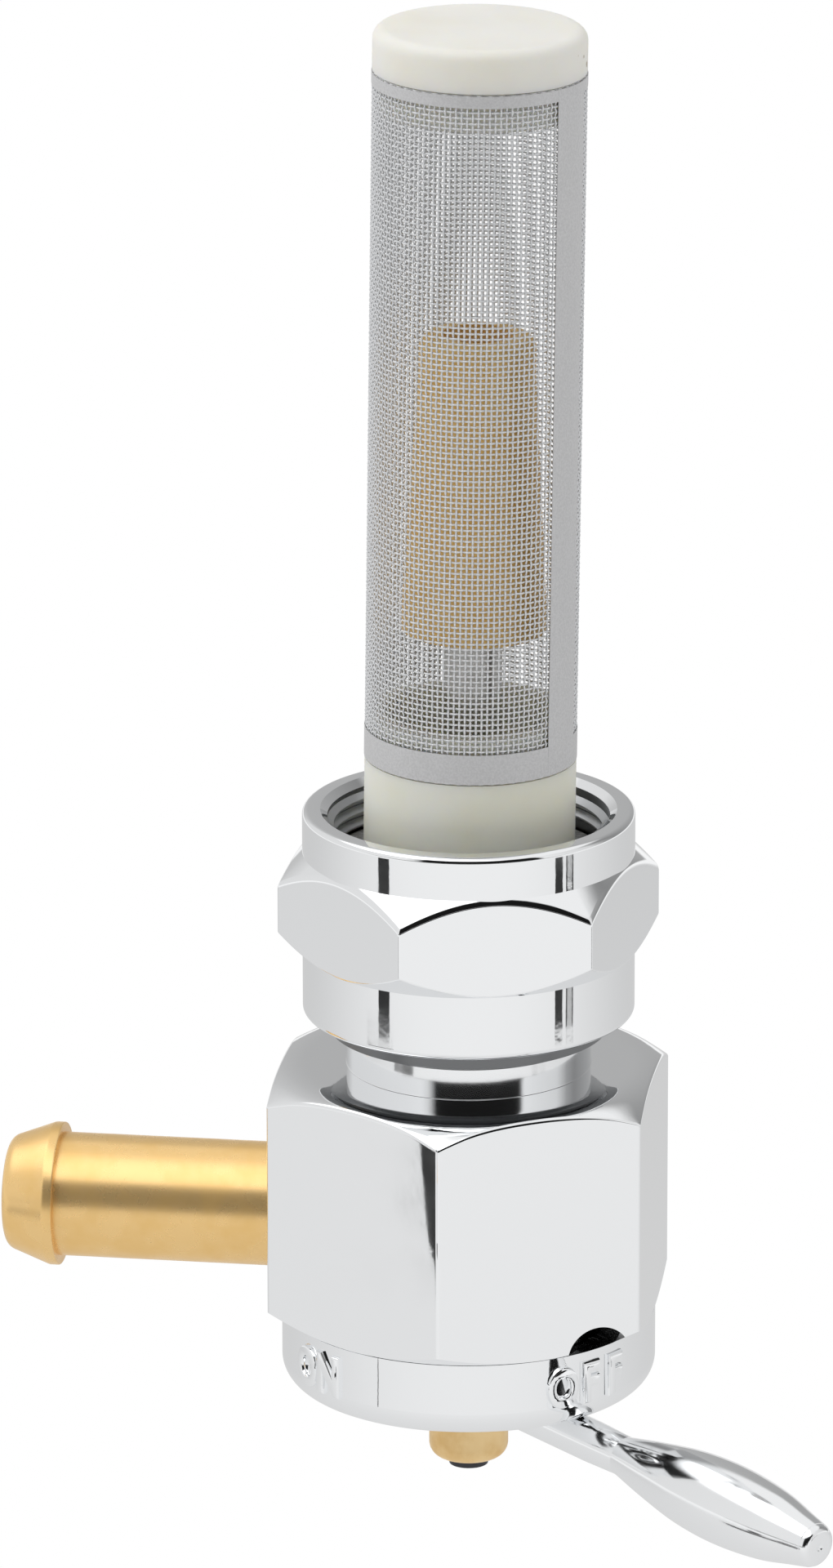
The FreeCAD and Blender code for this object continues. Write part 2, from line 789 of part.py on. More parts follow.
# Port seal: rubber disc between the seat and the rotor, with a hole at each port
seal_edge = "chamber_radius - rotor_clearance"
seal_blank = turned(
    "seal_blank",
    [
        ("0", SEAT_FOOT),
        (seal_edge, SEAT_FOOT),
        (seal_edge, f"{SEAT_FOOT} - port_seal_thickness"),
        ("0", f"{SEAT_FOOT} - port_seal_thickness"),
    ],
)
seal_holes = []
for name, side in (("main_hole", "-"), ("reserve_hole", "")):
    start = ("0", f"{side}port_offset", f"{SEAT_FOOT} - port_seal_thickness - cut_past")
    seal_holes.append(drill(name, "port_radius", "port_seal_thickness + cut_past * 2", start, UP))
cut_away("port_seal", seal_blank, seal_holes)

# Rotor: brass barrel with one passage, and the stem that comes out below the cap
barrel_edge = "chamber_radius - rotor_clearance"
ring_low = f"{ROTOR_TOP} - rotor_ring_drop - ring_groove_height / 2"
ring_high = f"{ring_low} + ring_groove_height"
rotor_blank = turned(
    "rotor_blank",
    [
        ("0", ROTOR_TOP),
        (barrel_edge, ROTOR_TOP),
        (barrel_edge, ring_high),
        (f"{barrel_edge} - ring_groove_depth", ring_high),
        (f"{barrel_edge} - ring_groove_depth", ring_low),
        (barrel_edge, ring_low),
        (barrel_edge, BARREL_FOOT),
        ("stem_radius", BARREL_FOOT),
        ("stem_radius", STEM_FOOT),
        ("0", STEM_FOOT),
    ],
)
stem_rim = end_rim(rotor_blank.Shape, -1)
dress(rotor_blank, "PartDesign::Fillet", "stem_edge", stem_rim, "Radius", "stem_round")
lever_turn = Rotation(UP, size("lever_angle")).multiply(Rotation(Vector(0, 1, 0), size("lever_dip")))
lever_way = lever_turn.multVec(Vector(1, 0, 0))
lever_bore = "lever_neck_radius + lever_gap"
screw_bore = "screw_radius + lever_gap"
cut_away(
    "rotor",
    rotor_blank,
    [
        drill(
            "passage",
            "port_radius",
            "rotor_barrel + cut_past * 2",
            ("-port_offset", "0", f"{BARREL_FOOT} - cut_past"),
            UP,
        ),
        drill(
            "lever_hole",
            lever_bore,
            "lever_root + stem_radius + cut_past",
            on_lever("-lever_root - lever_gap"),
            lever_way,
        ),
        drill(
            "screw_hole",
            screw_bore,
            f"{LEVER_LEVEL} - {STEM_FOOT} + cut_past",
            ("0", "0", f"{STEM_FOOT} - cut_past"),
            UP,
        ),
    ],
)

# Gland washer: brass, between the stem ring and the spring
washer_bore = "stem_radius + stem_clearance + gasket_gap"
washer_edge = "chamber_radius - gasket_gap"
turned(
    "gland_washer",
    [
        (washer_bore, CHAMBER_FOOT),
        (washer_edge, CHAMBER_FOOT),
        (washer_edge, f"{CHAMBER_FOOT} + gland_washer_thickness"),
        (washer_bore, f"{CHAMBER_FOOT} + gland_washer_thickness"),
    ],
)

# Rotor spring: steel, round the stem, pushes the barrel up against the port seal
above_barrel = size("port_seal_thickness") + size("rotor_gap")
coil(
    "rotor_spring",
    (size("chamber_radius") + size("stem_radius")) / 2,
    size("spring_wire"),
    size("chamber_depth") - size("gland_washer_thickness") - size("rotor_barrel") - above_barrel,
    size("spring_turns"),
    ("0", "0", f"{CHAMBER_FOOT} + gland_washer_thickness + spring_wire / 2"),
    UP,
)

# Detent ball and spring: in the boss, pressing on the click hollows inside the cap
cap_bore = "(cap_radius - cap_wall)"
ball_home = f"{cap_bore} - ball_clearance - ball_radius"
ball = doc.addObject("Part::Sphere", "detent_ball")
place(ball, "Radius", "ball_radius")
for letter, text in zip("xyz", (*around("detent_angle", ball_home), DETENT_LEVEL)):
    place(ball, f"Placement.Base.{letter}", text)
ball_back = size("cap_radius") - size("cap_wall") - size("ball_clearance") - 2 * size("ball_radius")
coil(
    "detent_spring",
    size("detent_spring_radius") - size("detent_spring_wire") / 2,
    size("detent_spring_wire"),
    ball_back - size("detent_bore_floor"),
    size("detent_spring_turns"),
    (*around("detent_angle", "detent_bore_floor + detent_spring_wire / 2"), DETENT_LEVEL),
    detent_way,
)

# Stop pin: steel, pressed into the boss
stop_pin = doc.addObject("Part::Cylinder", "stop_pin")
place(stop_pin, "Radius", "stop_radius")
place(stop_pin, "Height", "stop_root + stop_reach")
for letter, text in zip("xyz", (*stop_place, f"{BOSS_FOOT} - stop_reach")):
    place(stop_pin, f"Placement.Base.{letter}", text)

# Lever cap: chrome cup round the boss, with click hollows in its wall and the stop groove in its floor
cap_blank = turned(
    "cap_blank",
    [
        ("stem_radius + cap_hub_gap", CAP_FOOT),
        ("cap_radius", CAP_FOOT),
        ("cap_radius", CAP_TOP),
        (cap_bore, CAP_TOP),
        (cap_bore, CAP_FLOOR),
        ("stem_radius + cap_hub_gap", CAP_FLOOR),
    ],
)
foot_rim = end_rim(cap_blank.Shape, -1)
dress(cap_blank, "PartDesign::Fillet", "cap_foot_edge", foot_rim, "Radius", "cap_foot_round")
cap_cuts = []
for name, turn in (("off_click", "0"), ("on_click", "stop_swing"), ("reserve_click", "-stop_swing")):
    hollow = doc.addObject("Part::Sphere", name)
    place(hollow, "Radius", "click_radius")
    spot = around(f"detent_angle - {turn}", f"{cap_bore} + click_depth - click_radius")
    for letter, text in zip("xyz", (*spot, DETENT_LEVEL)):
        place(hollow, f"Placement.Base.{letter}", text)
    cap_cuts.append(hollow)
groove_radius = "(stop_radius + stop_gap)"
groove_floor = f"{CAP_FLOOR} - stop_groove_depth"
groove_ring = doc.addObject("Part::Cylinder", "groove_ring")
place(groove_ring, "Radius", f"stop_offset + {groove_radius}")
place(groove_ring, "Height", "stop_groove_depth + cut_past")
place(groove_ring, "Angle", "stop_swing * 2")
groove_core = doc.addObject("Part::Cylinder", "groove_core")
place(groove_core, "Radius", f"stop_offset - {groove_radius}")
place(groove_core, "Height", "stop_groove_depth + cut_past")
groove_arc = doc.addObject("Part::Cut", "groove_arc")
groove_arc.Base = groove_ring
groove_arc.Tool = groove_core
groove_start = size("stop_angle") - size("stop_swing")
groove_arc.Placement = Placement(Vector(0, 0, 0), Rotation(Vector(0, 0, 1), groove_start))
place(groove_arc, "Placement.Base.z", groove_floor)
cap_cuts.append(groove_arc)
for name, turn in (("groove_start", "- stop_swing"), ("groove_end", "+ stop_swing")):
    base = (*around(f"stop_angle {turn}", "stop_offset"), groove_floor)
    cap_cuts.append(drill(name, groove_radius, "stop_groove_depth + cut_past", base, UP))
cap_cuts.append(drill("lever_groove", lever_bore, "cap_radius", on_lever("stem_radius / 2"), lever_way))
cut_away("lever_cap", cap_blank, cap_cuts)

# Lever: a straight neck screwed into the stem and a handle shaped like a torpedo, turned in one piece
neck_start = Vector(-size("lever_root"), 0, 0)
neck_corner = Vector(-size("lever_root"), 0, size("lever_neck_radius"))
stations = []
for name in ("waist", "swell", "shoulder", "belly", "taper", "wrist", "end"):
    stations.append(Vector(size(f"lever_{name}"), 0, size(f"lever_{name}_radius")))
neck_end = Vector(2 * size("lever_waist") - size("lever_swell"), 0, size("lever_neck_radius"))
flank = Part.BSplineCurve()
flank.interpolate(stations)
tip_centre = Vector(size("lever_end"), 0, 0)
turned_line = Part.Wire(
    [
        Part.makeLine(neck_start, neck_corner),
        Part.makeLine(neck_corner, neck_end),
        Part.makeLine(neck_end, stations[0]),
        flank.toShape(),
        Part.makeLine(stations[-1], tip_centre),
        Part.makeLine(tip_centre, neck_start),
    ]
)
turned_lever = Part.Face(turned_line).revolve(Vector(0, 0, 0), Vector(1, 0, 0), 360)
tip_edges = [
    edge
    for edge in turned_lever.Edges
    if isinstance(edge.Curve, Part.Circle) and abs(edge.Curve.Center.x - tip_centre.x) < TINY
]
lever = doc.addObject("Part::Feature", "lever")
lever.Shape = turned_lever.makeFillet(size("lever_end_round"), tip_edges)
lever.Placement = Placement(Vector(0, 0, 0), lever_turn)
place(lever, "Placement.Base.z", LEVER_LEVEL)

# Lever screw: headless steel screw in the end of the stem, which locks the lever
screw = doc.addObject("Part::Cylinder", "lever_screw")
place(screw, "Radius", "screw_radius")
under_lever = "lever_neck_radius / cos(lever_dip) + screw_radius * tan(lever_dip) + lever_gap"
place(screw, "Height", f"{LEVER_LEVEL} - ({under_lever}) - {STEM_FOOT} + screw_proud")
place(screw, "Placement.Base.z", f"{STEM_FOOT} - screw_proud")

NODES = [
    "valve_body",
    "union_nut",
    "neck_gasket",
    "hose_spigot",
    "screen_collar",
    "screen_mesh",
    "screen_cap",
    "standpipe",
    "standpipe_sleeve",
    "inlet_seat",
    "seat_ring",
    "port_seal",
    "rotor",
    "rotor_ring",
    "rotor_spring",
    "gland_washer",
    "stem_ring",
    "detent_ball",
    "detent_spring",
    "stop_pin",
    "lever_cap",
    "lever",
    "lever_screw",
]

doc.recompute()
broken = [item.Label for item in doc.Objects if {"Invalid", "Error"} & set(item.State)]
if broken:
    raise RuntimeError("these objects failed to build: " + ", ".join(broken))
for node in NODES:
    shape = doc.getObjectsByLabel(node)[0].Shape
    if shape.isNull() or not shape.isValid() or len(shape.Solids) != 1:
        raise RuntimeError(f"{node} is not one valid solid")
for node in NODES:
    doc.getObjectsByLabel(node)[0].Shape.exportStep(f"parts/{node}.step")
print(len(NODES), "nodes written")
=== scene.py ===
import math

import bmesh
import bpy
from mathutils import Matrix, Vector


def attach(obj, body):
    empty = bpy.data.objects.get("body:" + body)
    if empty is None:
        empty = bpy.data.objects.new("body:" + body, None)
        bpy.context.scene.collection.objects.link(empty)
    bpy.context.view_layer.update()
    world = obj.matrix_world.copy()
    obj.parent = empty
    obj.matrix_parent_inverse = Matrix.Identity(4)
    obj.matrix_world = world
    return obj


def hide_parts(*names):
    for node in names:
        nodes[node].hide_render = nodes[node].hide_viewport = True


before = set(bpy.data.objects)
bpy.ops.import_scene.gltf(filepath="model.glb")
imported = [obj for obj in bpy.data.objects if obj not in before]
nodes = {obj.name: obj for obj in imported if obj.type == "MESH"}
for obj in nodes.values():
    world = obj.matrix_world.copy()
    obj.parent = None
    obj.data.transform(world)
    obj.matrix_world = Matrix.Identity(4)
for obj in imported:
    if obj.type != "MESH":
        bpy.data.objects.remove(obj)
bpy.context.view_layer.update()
MM = 0.001

# Camera: a long lens that looks down at the rim of the union nut, from the side between the spigot and
# the lever. The rim's centre lies a little right of the middle of the picture and below it.
CAMERA_AZIMUTH = math.radians(-81.8)
CAMERA_RISE = math.radians(17.65)
CAMERA_DISTANCE = 0.85
FOCAL_LENGTH = 13774
PICTURE = (1020, 1920)
RIM_IN_PICTURE = (573.9, 989.1)
SENSOR_HEIGHT = 36

to_camera = Vector((
    math.cos(CAMERA_RISE) * math.cos(CAMERA_AZIMUTH),
    math.cos(CAMERA_RISE) * math.sin(CAMERA_AZIMUTH),
    math.sin(CAMERA_RISE),
))
lens = bpy.data.cameras.new("camera")
lens.sensor_fit = "VERTICAL"
lens.sensor_height = SENSOR_HEIGHT
lens.lens = FOCAL_LENGTH * SENSOR_HEIGHT / PICTURE[1]
lens.shift_x = (PICTURE[0] / 2 - RIM_IN_PICTURE[0]) / PICTURE[1]
lens.shift_y = (RIM_IN_PICTURE[1] - PICTURE[1] / 2) / PICTURE[1]
lens.clip_start = 0.05
camera = bpy.data.objects.new("camera", lens)
camera.location = to_camera * CAMERA_DISTANCE
camera.rotation_euler = (-to_camera).to_track_quat("-Z", "Y").to_euler()
bpy.context.collection.objects.link(camera)
bpy.context.scene.camera = camera
bpy.context.scene.view_settings.view_transform = "Standard"

# Studio: a white tent that is open at the camera's side, so that a dark room shows there above the floor.
# The floor is pale, and thin dark stands left and right of the camera show only in the chrome.
# brightness of the tent's wall, by degrees round from the camera, and how high up the wall reaches
WALL = [
    (-180, 0.56), (-168, 0.62), (-156, 0.72), (-142, 0.95), (-92, 1.0), (-60, 1.05),
    (-45, 1.1), (-38, 0.9), (-31, 0.012), (49, 0.012), (53, 1.1), (70, 1.0),
    (92, 0.9), (106, 0.45), (118, 0.32), (140, 0.42), (180, 0.56),
]
# a curve node holds values from 0 to 1 only, so it holds the brightness divided by this
WALL_SCALE = 2.0
WALL_FOOT = (-1.5, 1.0)
WALL_TOP = (38, 48)
# the lamp stands before the tent on the left, so its roof is bright on that side of a slanting line
LAMP_SIDE = (0.539, -0.837, -0.088)
LAMP_EDGE = 0.1
BELOW, ROOF_LIT, ROOF_SHADED = 0.95, 2.3, 1.15
ROOF_FROM, ROOF_TO = 0, 42
# level of the floor, its brightness behind the object and before it, where it lightens towards the wall,
# and where it ends towards the camera
FLOOR_LEVEL = -0.16
FLOOR_SIZE = 6.0
FLOOR_NEAR, FLOOR_FAR, FLOOR_EDGE, FLOOR_END = 0.92, 0.62, 0.97, 0.012
FLOOR_SPREAD = 0.55
FLOOR_EDGE_FROM, FLOOR_EDGE_TO = 0.55, 1.6
FLOOR_END_FROM, FLOOR_END_TO = 1.2, 1.4
STAND_BLACK = (0.01, 0.01, 0.01, 1)
STAND_DISTANCE = 0.3
# azimuth from the camera's in degrees, width in degrees, lowest and highest level
STANDS = [
    ("stand_left", -59.8, 8.6, -0.113, -0.0905),
    ("stand_left_foot", -63.25, 20.5, -0.1365, -0.1165),
    ("stand_left_leg", -56.5, 0.5, -0.153, -0.1465),
    ("stand_right", 64.0, 6.0, -0.113, -0.0905),
    ("rail_right_near", 70.3, 1.1, -0.113, -0.0905),
    ("rail_right_far", 75.2, 1.1, -0.113, -0.0905),
]
RUNG_AZIMUTH = 72.8
RUNG_WIDTH = 5.0
RUNGS = 15
RUNG_LOW, RUNG_STEP, RUNG_HEIGHT = -0.1128, 0.00145, 0.0006


def add_node(tree, kind, settings=None, **inputs):
    """A node with its settings and with each named input set to a value or joined to a socket."""
    node = tree.nodes.new(kind)
    for key, value in (settings or {}).items():
        setattr(node, key, value)
    for key, value in inputs.items():
        name = key.replace("_", " ")
        socket = node.inputs[int(name[1:])] if name[0] == "i" and name[1:].isdigit() else node.inputs[name]
        if isinstance(value, bpy.types.NodeSocket):
            tree.links.new(value, socket)
        else:
            socket.default_value = value
    return node


def reckon(tree, operation, first, second=0.0, third=0.0):
    """The socket of a Math node."""
    node = add_node(tree, "ShaderNodeMath", {"operation": operation}, i0=first, i1=second, i2=third)
    return node.outputs[0]


def between(tree, first, second, share):
    """Goes straight from the first value to the second while share goes from 0 to 1."""
    return reckon(tree, "MULTIPLY_ADD", reckon(tree, "SUBTRACT", second, first), share, first)


def ramp(tree, value, start, end, low=0.0, high=1.0):
    """Goes smoothly from low to high while value goes from start to end."""
    node = add_node(
        tree, "ShaderNodeMapRange", {"interpolation_type": "SMOOTHSTEP"},
        Value=value, From_Min=start, From_Max=end, To_Min=low, To_Max=high,
    )
    return node.outputs[0]


world = bpy.data.worlds.new("studio")
bpy.context.scene.world = world
world.use_nodes = True
tent = world.node_tree
tent.nodes.clear()
sight = add_node(tent, "ShaderNodeTexCoord").outputs["Generated"]
turned = add_node(
    tent, "ShaderNodeVectorRotate", {"rotation_type": "Z_AXIS"}, Vector=sight, Angle=-CAMERA_AZIMUTH
).outputs[0]
parts = add_node(tent, "ShaderNodeSeparateXYZ", Vector=turned).outputs
round_about = reckon(tent, "DEGREES", reckon(tent, "ARCTAN2", parts["Y"], parts["X"]))
rise = reckon(tent, "DEGREES", reckon(tent, "ARCSINE", parts["Z"]))
where = reckon(tent, "MULTIPLY_ADD", round_about, 1 / 360, 0.5)
wall = add_node(tent, "ShaderNodeFloatCurve", Value=where)
curve = wall.mapping.curves[0]
curve.points[0].location = (0, WALL[0][1] / WALL_SCALE)
curve.points[-1].location = (1, WALL[-1][1] / WALL_SCALE)
for degrees, level in WALL[1:-1]:
    curve.points.new(degrees / 360 + 0.5, level / WALL_SCALE)
for point in curve.points:
    point.handle_type = "VECTOR"
wall.mapping.update()
wall_light = reckon(tent, "MULTIPLY", wall.outputs[0], WALL_SCALE)
on_wall = reckon(tent, "MULTIPLY", ramp(tent, rise, *WALL_FOOT), ramp(tent, rise, WALL_TOP[1], WALL_TOP[0]))
to_lamp = add_node(tent, "ShaderNodeVectorMath", {"operation": "DOT_PRODUCT"}, i0=turned, i1=LAMP_SIDE)
roof = ramp(tent, to_lamp.outputs["Value"], -LAMP_EDGE, LAMP_EDGE, ROOF_SHADED, ROOF_LIT)
cloth = between(tent, BELOW, roof, ramp(tent, rise, ROOF_FROM, ROOF_TO))
off_wall = reckon(tent, "SUBTRACT", 1.0, on_wall)
seen = reckon(tent, "MULTIPLY_ADD", cloth, off_wall, reckon(tent, "MULTIPLY", on_wall, wall_light))
straight = add_node(tent, "ShaderNodeLightPath").outputs["Is Camera Ray"]
strength = reckon(tent, "MAXIMUM", seen, straight)
shine = add_node(tent, "ShaderNodeBackground", Strength=strength)
add_node(tent, "ShaderNodeOutputWorld", Surface=shine.outputs[0])

ground_mesh = bpy.data.meshes.new("floor")
shape = bmesh.new()
bmesh.ops.create_grid(shape, x_segments=1, y_segments=1, size=FLOOR_SIZE)
bmesh.ops.translate(shape, verts=shape.verts, vec=(0, 0, FLOOR_LEVEL))
shape.to_mesh(ground_mesh)
shape.free()
ground = bpy.data.objects.new("floor", ground_mesh)
bpy.context.collection.objects.link(ground)
pale = bpy.data.materials.new("pale_floor")
pale.use_nodes = True
pale_tree = pale.node_tree
pale_tree.nodes.clear()
spot = add_node(pale_tree, "ShaderNodeTexCoord").outputs["Object"]
nearer = add_node(
    pale_tree, "ShaderNodeVectorMath", {"operation": "DOT_PRODUCT"}, i0=spot,
    i1=(math.cos(CAMERA_AZIMUTH), math.sin(CAMERA_AZIMUTH), 0),
).outputs["Value"]
paleness = ramp(pale_tree, nearer, -FLOOR_SPREAD, FLOOR_SPREAD, FLOOR_FAR, FLOOR_NEAR)
away = add_node(pale_tree, "ShaderNodeVectorMath", {"operation": "LENGTH"}, i0=spot).outputs["Value"]
lift = ramp(pale_tree, away, FLOOR_EDGE_FROM, FLOOR_EDGE_TO)
paleness = between(pale_tree, paleness, FLOOR_EDGE, lift)
ended = ramp(pale_tree, nearer, FLOOR_END_FROM, FLOOR_END_TO)
paleness = between(pale_tree, paleness, FLOOR_END, ended)
lit = add_node(pale_tree, "ShaderNodeLightPath").outputs["Is Camera Ray"]
glow = add_node(pale_tree, "ShaderNodeEmission", Strength=reckon(pale_tree, "MAXIMUM", paleness, lit))
add_node(pale_tree, "ShaderNodeOutputMaterial", Surface=glow.outputs[0])
ground_mesh.materials.append(pale)

black = bpy.data.materials.new("black_stand")
black.use_nodes = True
black.node_tree.nodes["Principled BSDF"].inputs["Base Color"].default_value = STAND_BLACK
rungs = []
for index in range(RUNGS):
    low = RUNG_LOW + index * RUNG_STEP
    rungs.append((f"rung_{index}", RUNG_AZIMUTH, RUNG_WIDTH, low, low + RUNG_HEIGHT))
for name, azimuth, width, low, high in STANDS + rungs:
    shape = bmesh.new()
    bmesh.ops.create_grid(shape, x_segments=1, y_segments=1, size=0.5)
    across = 2 * STAND_DISTANCE * math.tan(math.radians(width / 2))
    bmesh.ops.scale(shape, verts=shape.verts, vec=(across, high - low, 1))
    bmesh.ops.rotate(shape, verts=shape.verts, matrix=Matrix.Rotation(math.radians(90), 3, "X"))
    bmesh.ops.translate(shape, verts=shape.verts, vec=(0, -STAND_DISTANCE, (low + high) / 2))
    turn = CAMERA_AZIMUTH + math.radians(90 + azimuth)
    bmesh.ops.rotate(shape, verts=shape.verts, matrix=Matrix.Rotation(turn, 3, "Z"))
    stand_mesh = bpy.data.meshes.new(name)
    shape.to_mesh(stand_mesh)
    shape.free()
    stand_mesh.materials.append(black)
    stand = bpy.data.objects.new(name, stand_mesh)
    stand.visible_camera = False
    stand.visible_diffuse = False
    bpy.context.collection.objects.link(stand)

# Valve body: hexagon bar with a turned neck and boss, polished and chrome plated. The plating is a mirror
# with a faint waviness. Polishing has rounded the edges where the flats run out, and the drilled notch at the
# foot stays bare, its inside painted near black as the shade in that deep hole. It is made again here, from
# the same sizes, for the sake of those round edges.
CHROME_COLOUR = (0.905, 0.915, 0.925, 1)
CHROME_ROUGHNESS = (0.025, 0.075)
CHROME_WAVE = 6e-6
# the neck's thread is left dull, and so are the nut's inside and underside; all are darkened too, as
# painted shade under and inside the nut
DULL_SHADED_CHROME = (0.2, 0.205, 0.21, 1)
DULL_ROUGHNESS = 0.3
NECK_ROUGHNESS = 0.1
# near black for the notch's bare inside, painted shade for that deep hole
NOTCH_PAINTED_SHADE = (0.008, 0.07)
BODY_FLATS = 28.575 * MM
BODY_TOP = -20.15 * MM
BODY_FOOT = -39.645 * MM
# cone at each end: the radius where it starts on the end face, and how far it falls to the corners
BODY_TOP_CONE = (14.2 * MM, 1.65 * MM)
BODY_FOOT_CONE = (14.25 * MM, 1.3 * MM)
BODY_TOP_ROUND = 0.36 * MM
BODY_FOOT_ROUND = 0.02 * MM
BODY_CORNER_ROUND = 0.35 * MM
BODY_DOME_ROUND = 5.0 * MM
DOME_FROM = 0.1
# the left flat falls away a little to the front corner, more at the top, and not below this level
WORN_FLAT = 4
WORN_REACH = 1.6 * MM
WORN_FALL = 0.12
WORN_FOOT = -33.5 * MM
WORN_TOP = -22.0 * MM
WORN_OVER = 1.5 * MM
# the neck and its thread, and the level down to which the thread is dull
NECK_TOP = -5.0 * MM
NECK_BEVEL = 0.5 * MM
NECK_THREAD_RADIUS = 10.6 * MM
NECK_THREAD_END = -17.25 * MM
NECK_THREAD_FOOT = -17.8 * MM
NECK_RADIUS = 9.3 * MM
NECK_RELIEF_TOP = -17.75 * MM
NECK_ROOT_ROUND = 0.06 * MM
# boss under the hexagon, and the bores from the stem's hole up to the well for the seat and the collar
BOSS_RADIUS = 12.0 * MM
BOSS_ROOT = -39.6 * MM
BOSS_FOOT = -42.95 * MM
BOSS_BEVEL = 0.5 * MM
STEM_HOLE_RADIUS = 3.1 * MM
GLAND_RADIUS = 4.65 * MM
GLAND_FOOT = -37.8 * MM
CHAMBER_RADIUS = 6.5 * MM
CHAMBER_FOOT = -36.1 * MM
WELL_RADIUS = 8.15 * MM
WELL_FOOT = -19.7 * MM
NOTCH_AXIS = math.radians(-41)
NOTCH_RADIUS = 2.4 * MM
NOTCH_LEVEL = -40.0 * MM
NOTCH_START = 11.5 * MM
NOTCH_DEPTH = 10 * MM
SPIGOT_LEVEL = -32.5 * MM
SPIGOT_RADIUS = 4.75 * MM
SPIGOT_ROOT = 7.8 * MM
OUTLET_RADIUS = 3.2 * MM
FLAT_STEPS = 60
CORNER_STEPS = 6
ROUND_STEPS = 12
QUARTER_STEPS = 6
DOME_STEPS = 10
SIDE_ROWS = 12
DRILL_SIDES = 64
# a point this far beside a round keeps the flat next to it from shading as if it were bent
BESIDE = 0.06 * MM
# points nearer than this are one point
NEAR = 1e-7


def start_material(name):
    """A material with its node tree, its shader and the place on the object, for patterns."""
    material = bpy.data.materials.new(name)
    material.use_nodes = True
    tree = material.node_tree
    place = add_node(tree, "ShaderNodeTexCoord").outputs["Object"]
    return material, tree, tree.nodes["Principled BSDF"], place


def noise(tree, place, scale, detail=2.0):
    """Cloudy values about 0.5, scale to the metre."""
    return add_node(tree, "ShaderNodeTexNoise", Vector=place, Scale=scale, Detail=detail).outputs["Fac"]


def bump(tree, height, distance, under=None):
    """The normal of a surface with small heights on it, over the normal of another bump or alone."""
    node = add_node(tree, "ShaderNodeBump", Height=height, Distance=distance, Strength=1.0)
    if under is not None:
        tree.links.new(under, node.inputs["Normal"])
    return node.outputs[0]


def grey(tree, value):
    """A grey of one value."""
    return add_node(tree, "ShaderNodeCombineColor", Red=value, Green=value, Blue=value).outputs[0]


def blend_colours(tree, share, first, second):
    """Goes from the first colour to the second while share goes from 0 to 1."""
    mix = add_node(tree, "ShaderNodeMix", {"data_type": "RGBA"}, Factor=share)
    ends = [socket for socket in mix.inputs if socket.type == "RGBA"]
    for socket, colour in zip(ends, (first, second)):
        if isinstance(colour, bpy.types.NodeSocket):
            tree.links.new(colour, socket)
        else:
            socket.default_value = colour
    return next(socket for socket in mix.outputs if socket.type == "RGBA")


def chrome_plate(name, roughness=CHROME_ROUGHNESS):
    """Bright chrome with a faint orange peel and slight haze."""
    material, tree, shader, place = start_material(name)
    shader.inputs["Metallic"].default_value = 1.0
    shader.inputs["Base Color"].default_value = CHROME_COLOUR
    haze = ramp(tree, noise(tree, place, 140, 3), 0.35, 0.75, *roughness)
    tree.links.new(haze, shader.inputs["Roughness"])
    peel = bump(tree, noise(tree, place, 900, 2), CHROME_WAVE * 0.35)
    tree.links.new(bump(tree, noise(tree, place, 230, 1), CHROME_WAVE, peel), shader.inputs["Normal"])
    return material, tree, shader, place


def roughen(tree, shader, mask, least):
    """Lifts a chrome's roughness to a least value where a mask is 1."""
    haze = shader.inputs["Roughness"].links[0].from_socket
    rougher = reckon(tree, "MAXIMUM", haze, reckon(tree, "MULTIPLY", mask, least))
    tree.links.new(rougher, shader.inputs["Roughness"])


def dull_and_shade(tree, shader, mask):
    """Roughens a chrome where a mask is 1, and darkens it there as painted shade."""
    base = shader.inputs["Base Color"]
    colour = base.links[0].from_socket if base.is_linked else base.default_value[:]
    tree.links.new(blend_colours(tree, mask, colour, DULL_SHADED_CHROME), base)
    roughen(tree, shader, mask, DULL_ROUGHNESS)


def from_axis(tree, first, second):
    """How far a point is from an axis, from how far it is along two directions across it."""
    squares = reckon(tree, "ADD", reckon(tree, "POWER", first, 2.0), reckon(tree, "POWER", second, 2.0))
    return reckon(tree, "SQRT", squares)


def dress_node(node, material):
    """Gives a CAD node its material."""
    for holder in nodes[node].material_slots:
        holder.material = material


body_chrome, tree, shader, place = chrome_plate("body_chrome")
# the notch's inside is bare, and painted near black as the shade in that deep hole
spot = add_node(
    tree, "ShaderNodeVectorMath", {"operation": "SUBTRACT"}, i0=place, i1=(0, 0, NOTCH_LEVEL)
).outputs[0]
spot = add_node(
    tree, "ShaderNodeVectorRotate", {"rotation_type": "Z_AXIS"}, Vector=spot, Angle=-NOTCH_AXIS
).outputs[0]
parts = add_node(tree, "ShaderNodeSeparateXYZ", Vector=spot).outputs
in_notch = reckon(tree, "LESS_THAN", from_axis(tree, parts["Y"], parts["Z"]), NOTCH_RADIUS)
bare_and_shaded = reckon(tree, "MULTIPLY", in_notch, reckon(tree, "GREATER_THAN", parts["X"], NOTCH_START))
dark = grey(tree, ramp(tree, noise(tree, place, 5000, 2), 0.4, 0.8, *NOTCH_PAINTED_SHADE))
tree.links.new(blend_colours(tree, bare_and_shaded, CHROME_COLOUR, dark), shader.inputs["Base Color"])
tree.links.new(reckon(tree, "SUBTRACT", 1.0, bare_and_shaded), shader.inputs["Metallic"])
level = add_node(tree, "ShaderNodeSeparateXYZ", Vector=place).outputs["Z"]
# the neck from its thread's foot up is dulled, and darkened as painted shade under the nut
dull_and_shade(tree, shader, reckon(tree, "GREATER_THAN", level, NECK_THREAD_FOOT))
on_neck = reckon(tree, "GREATER_THAN", level, BODY_TOP + NECK_ROOT_ROUND)
roughen(tree, shader, on_neck, NECK_ROUGHNESS)
dress_node("valve_body", body_chrome)


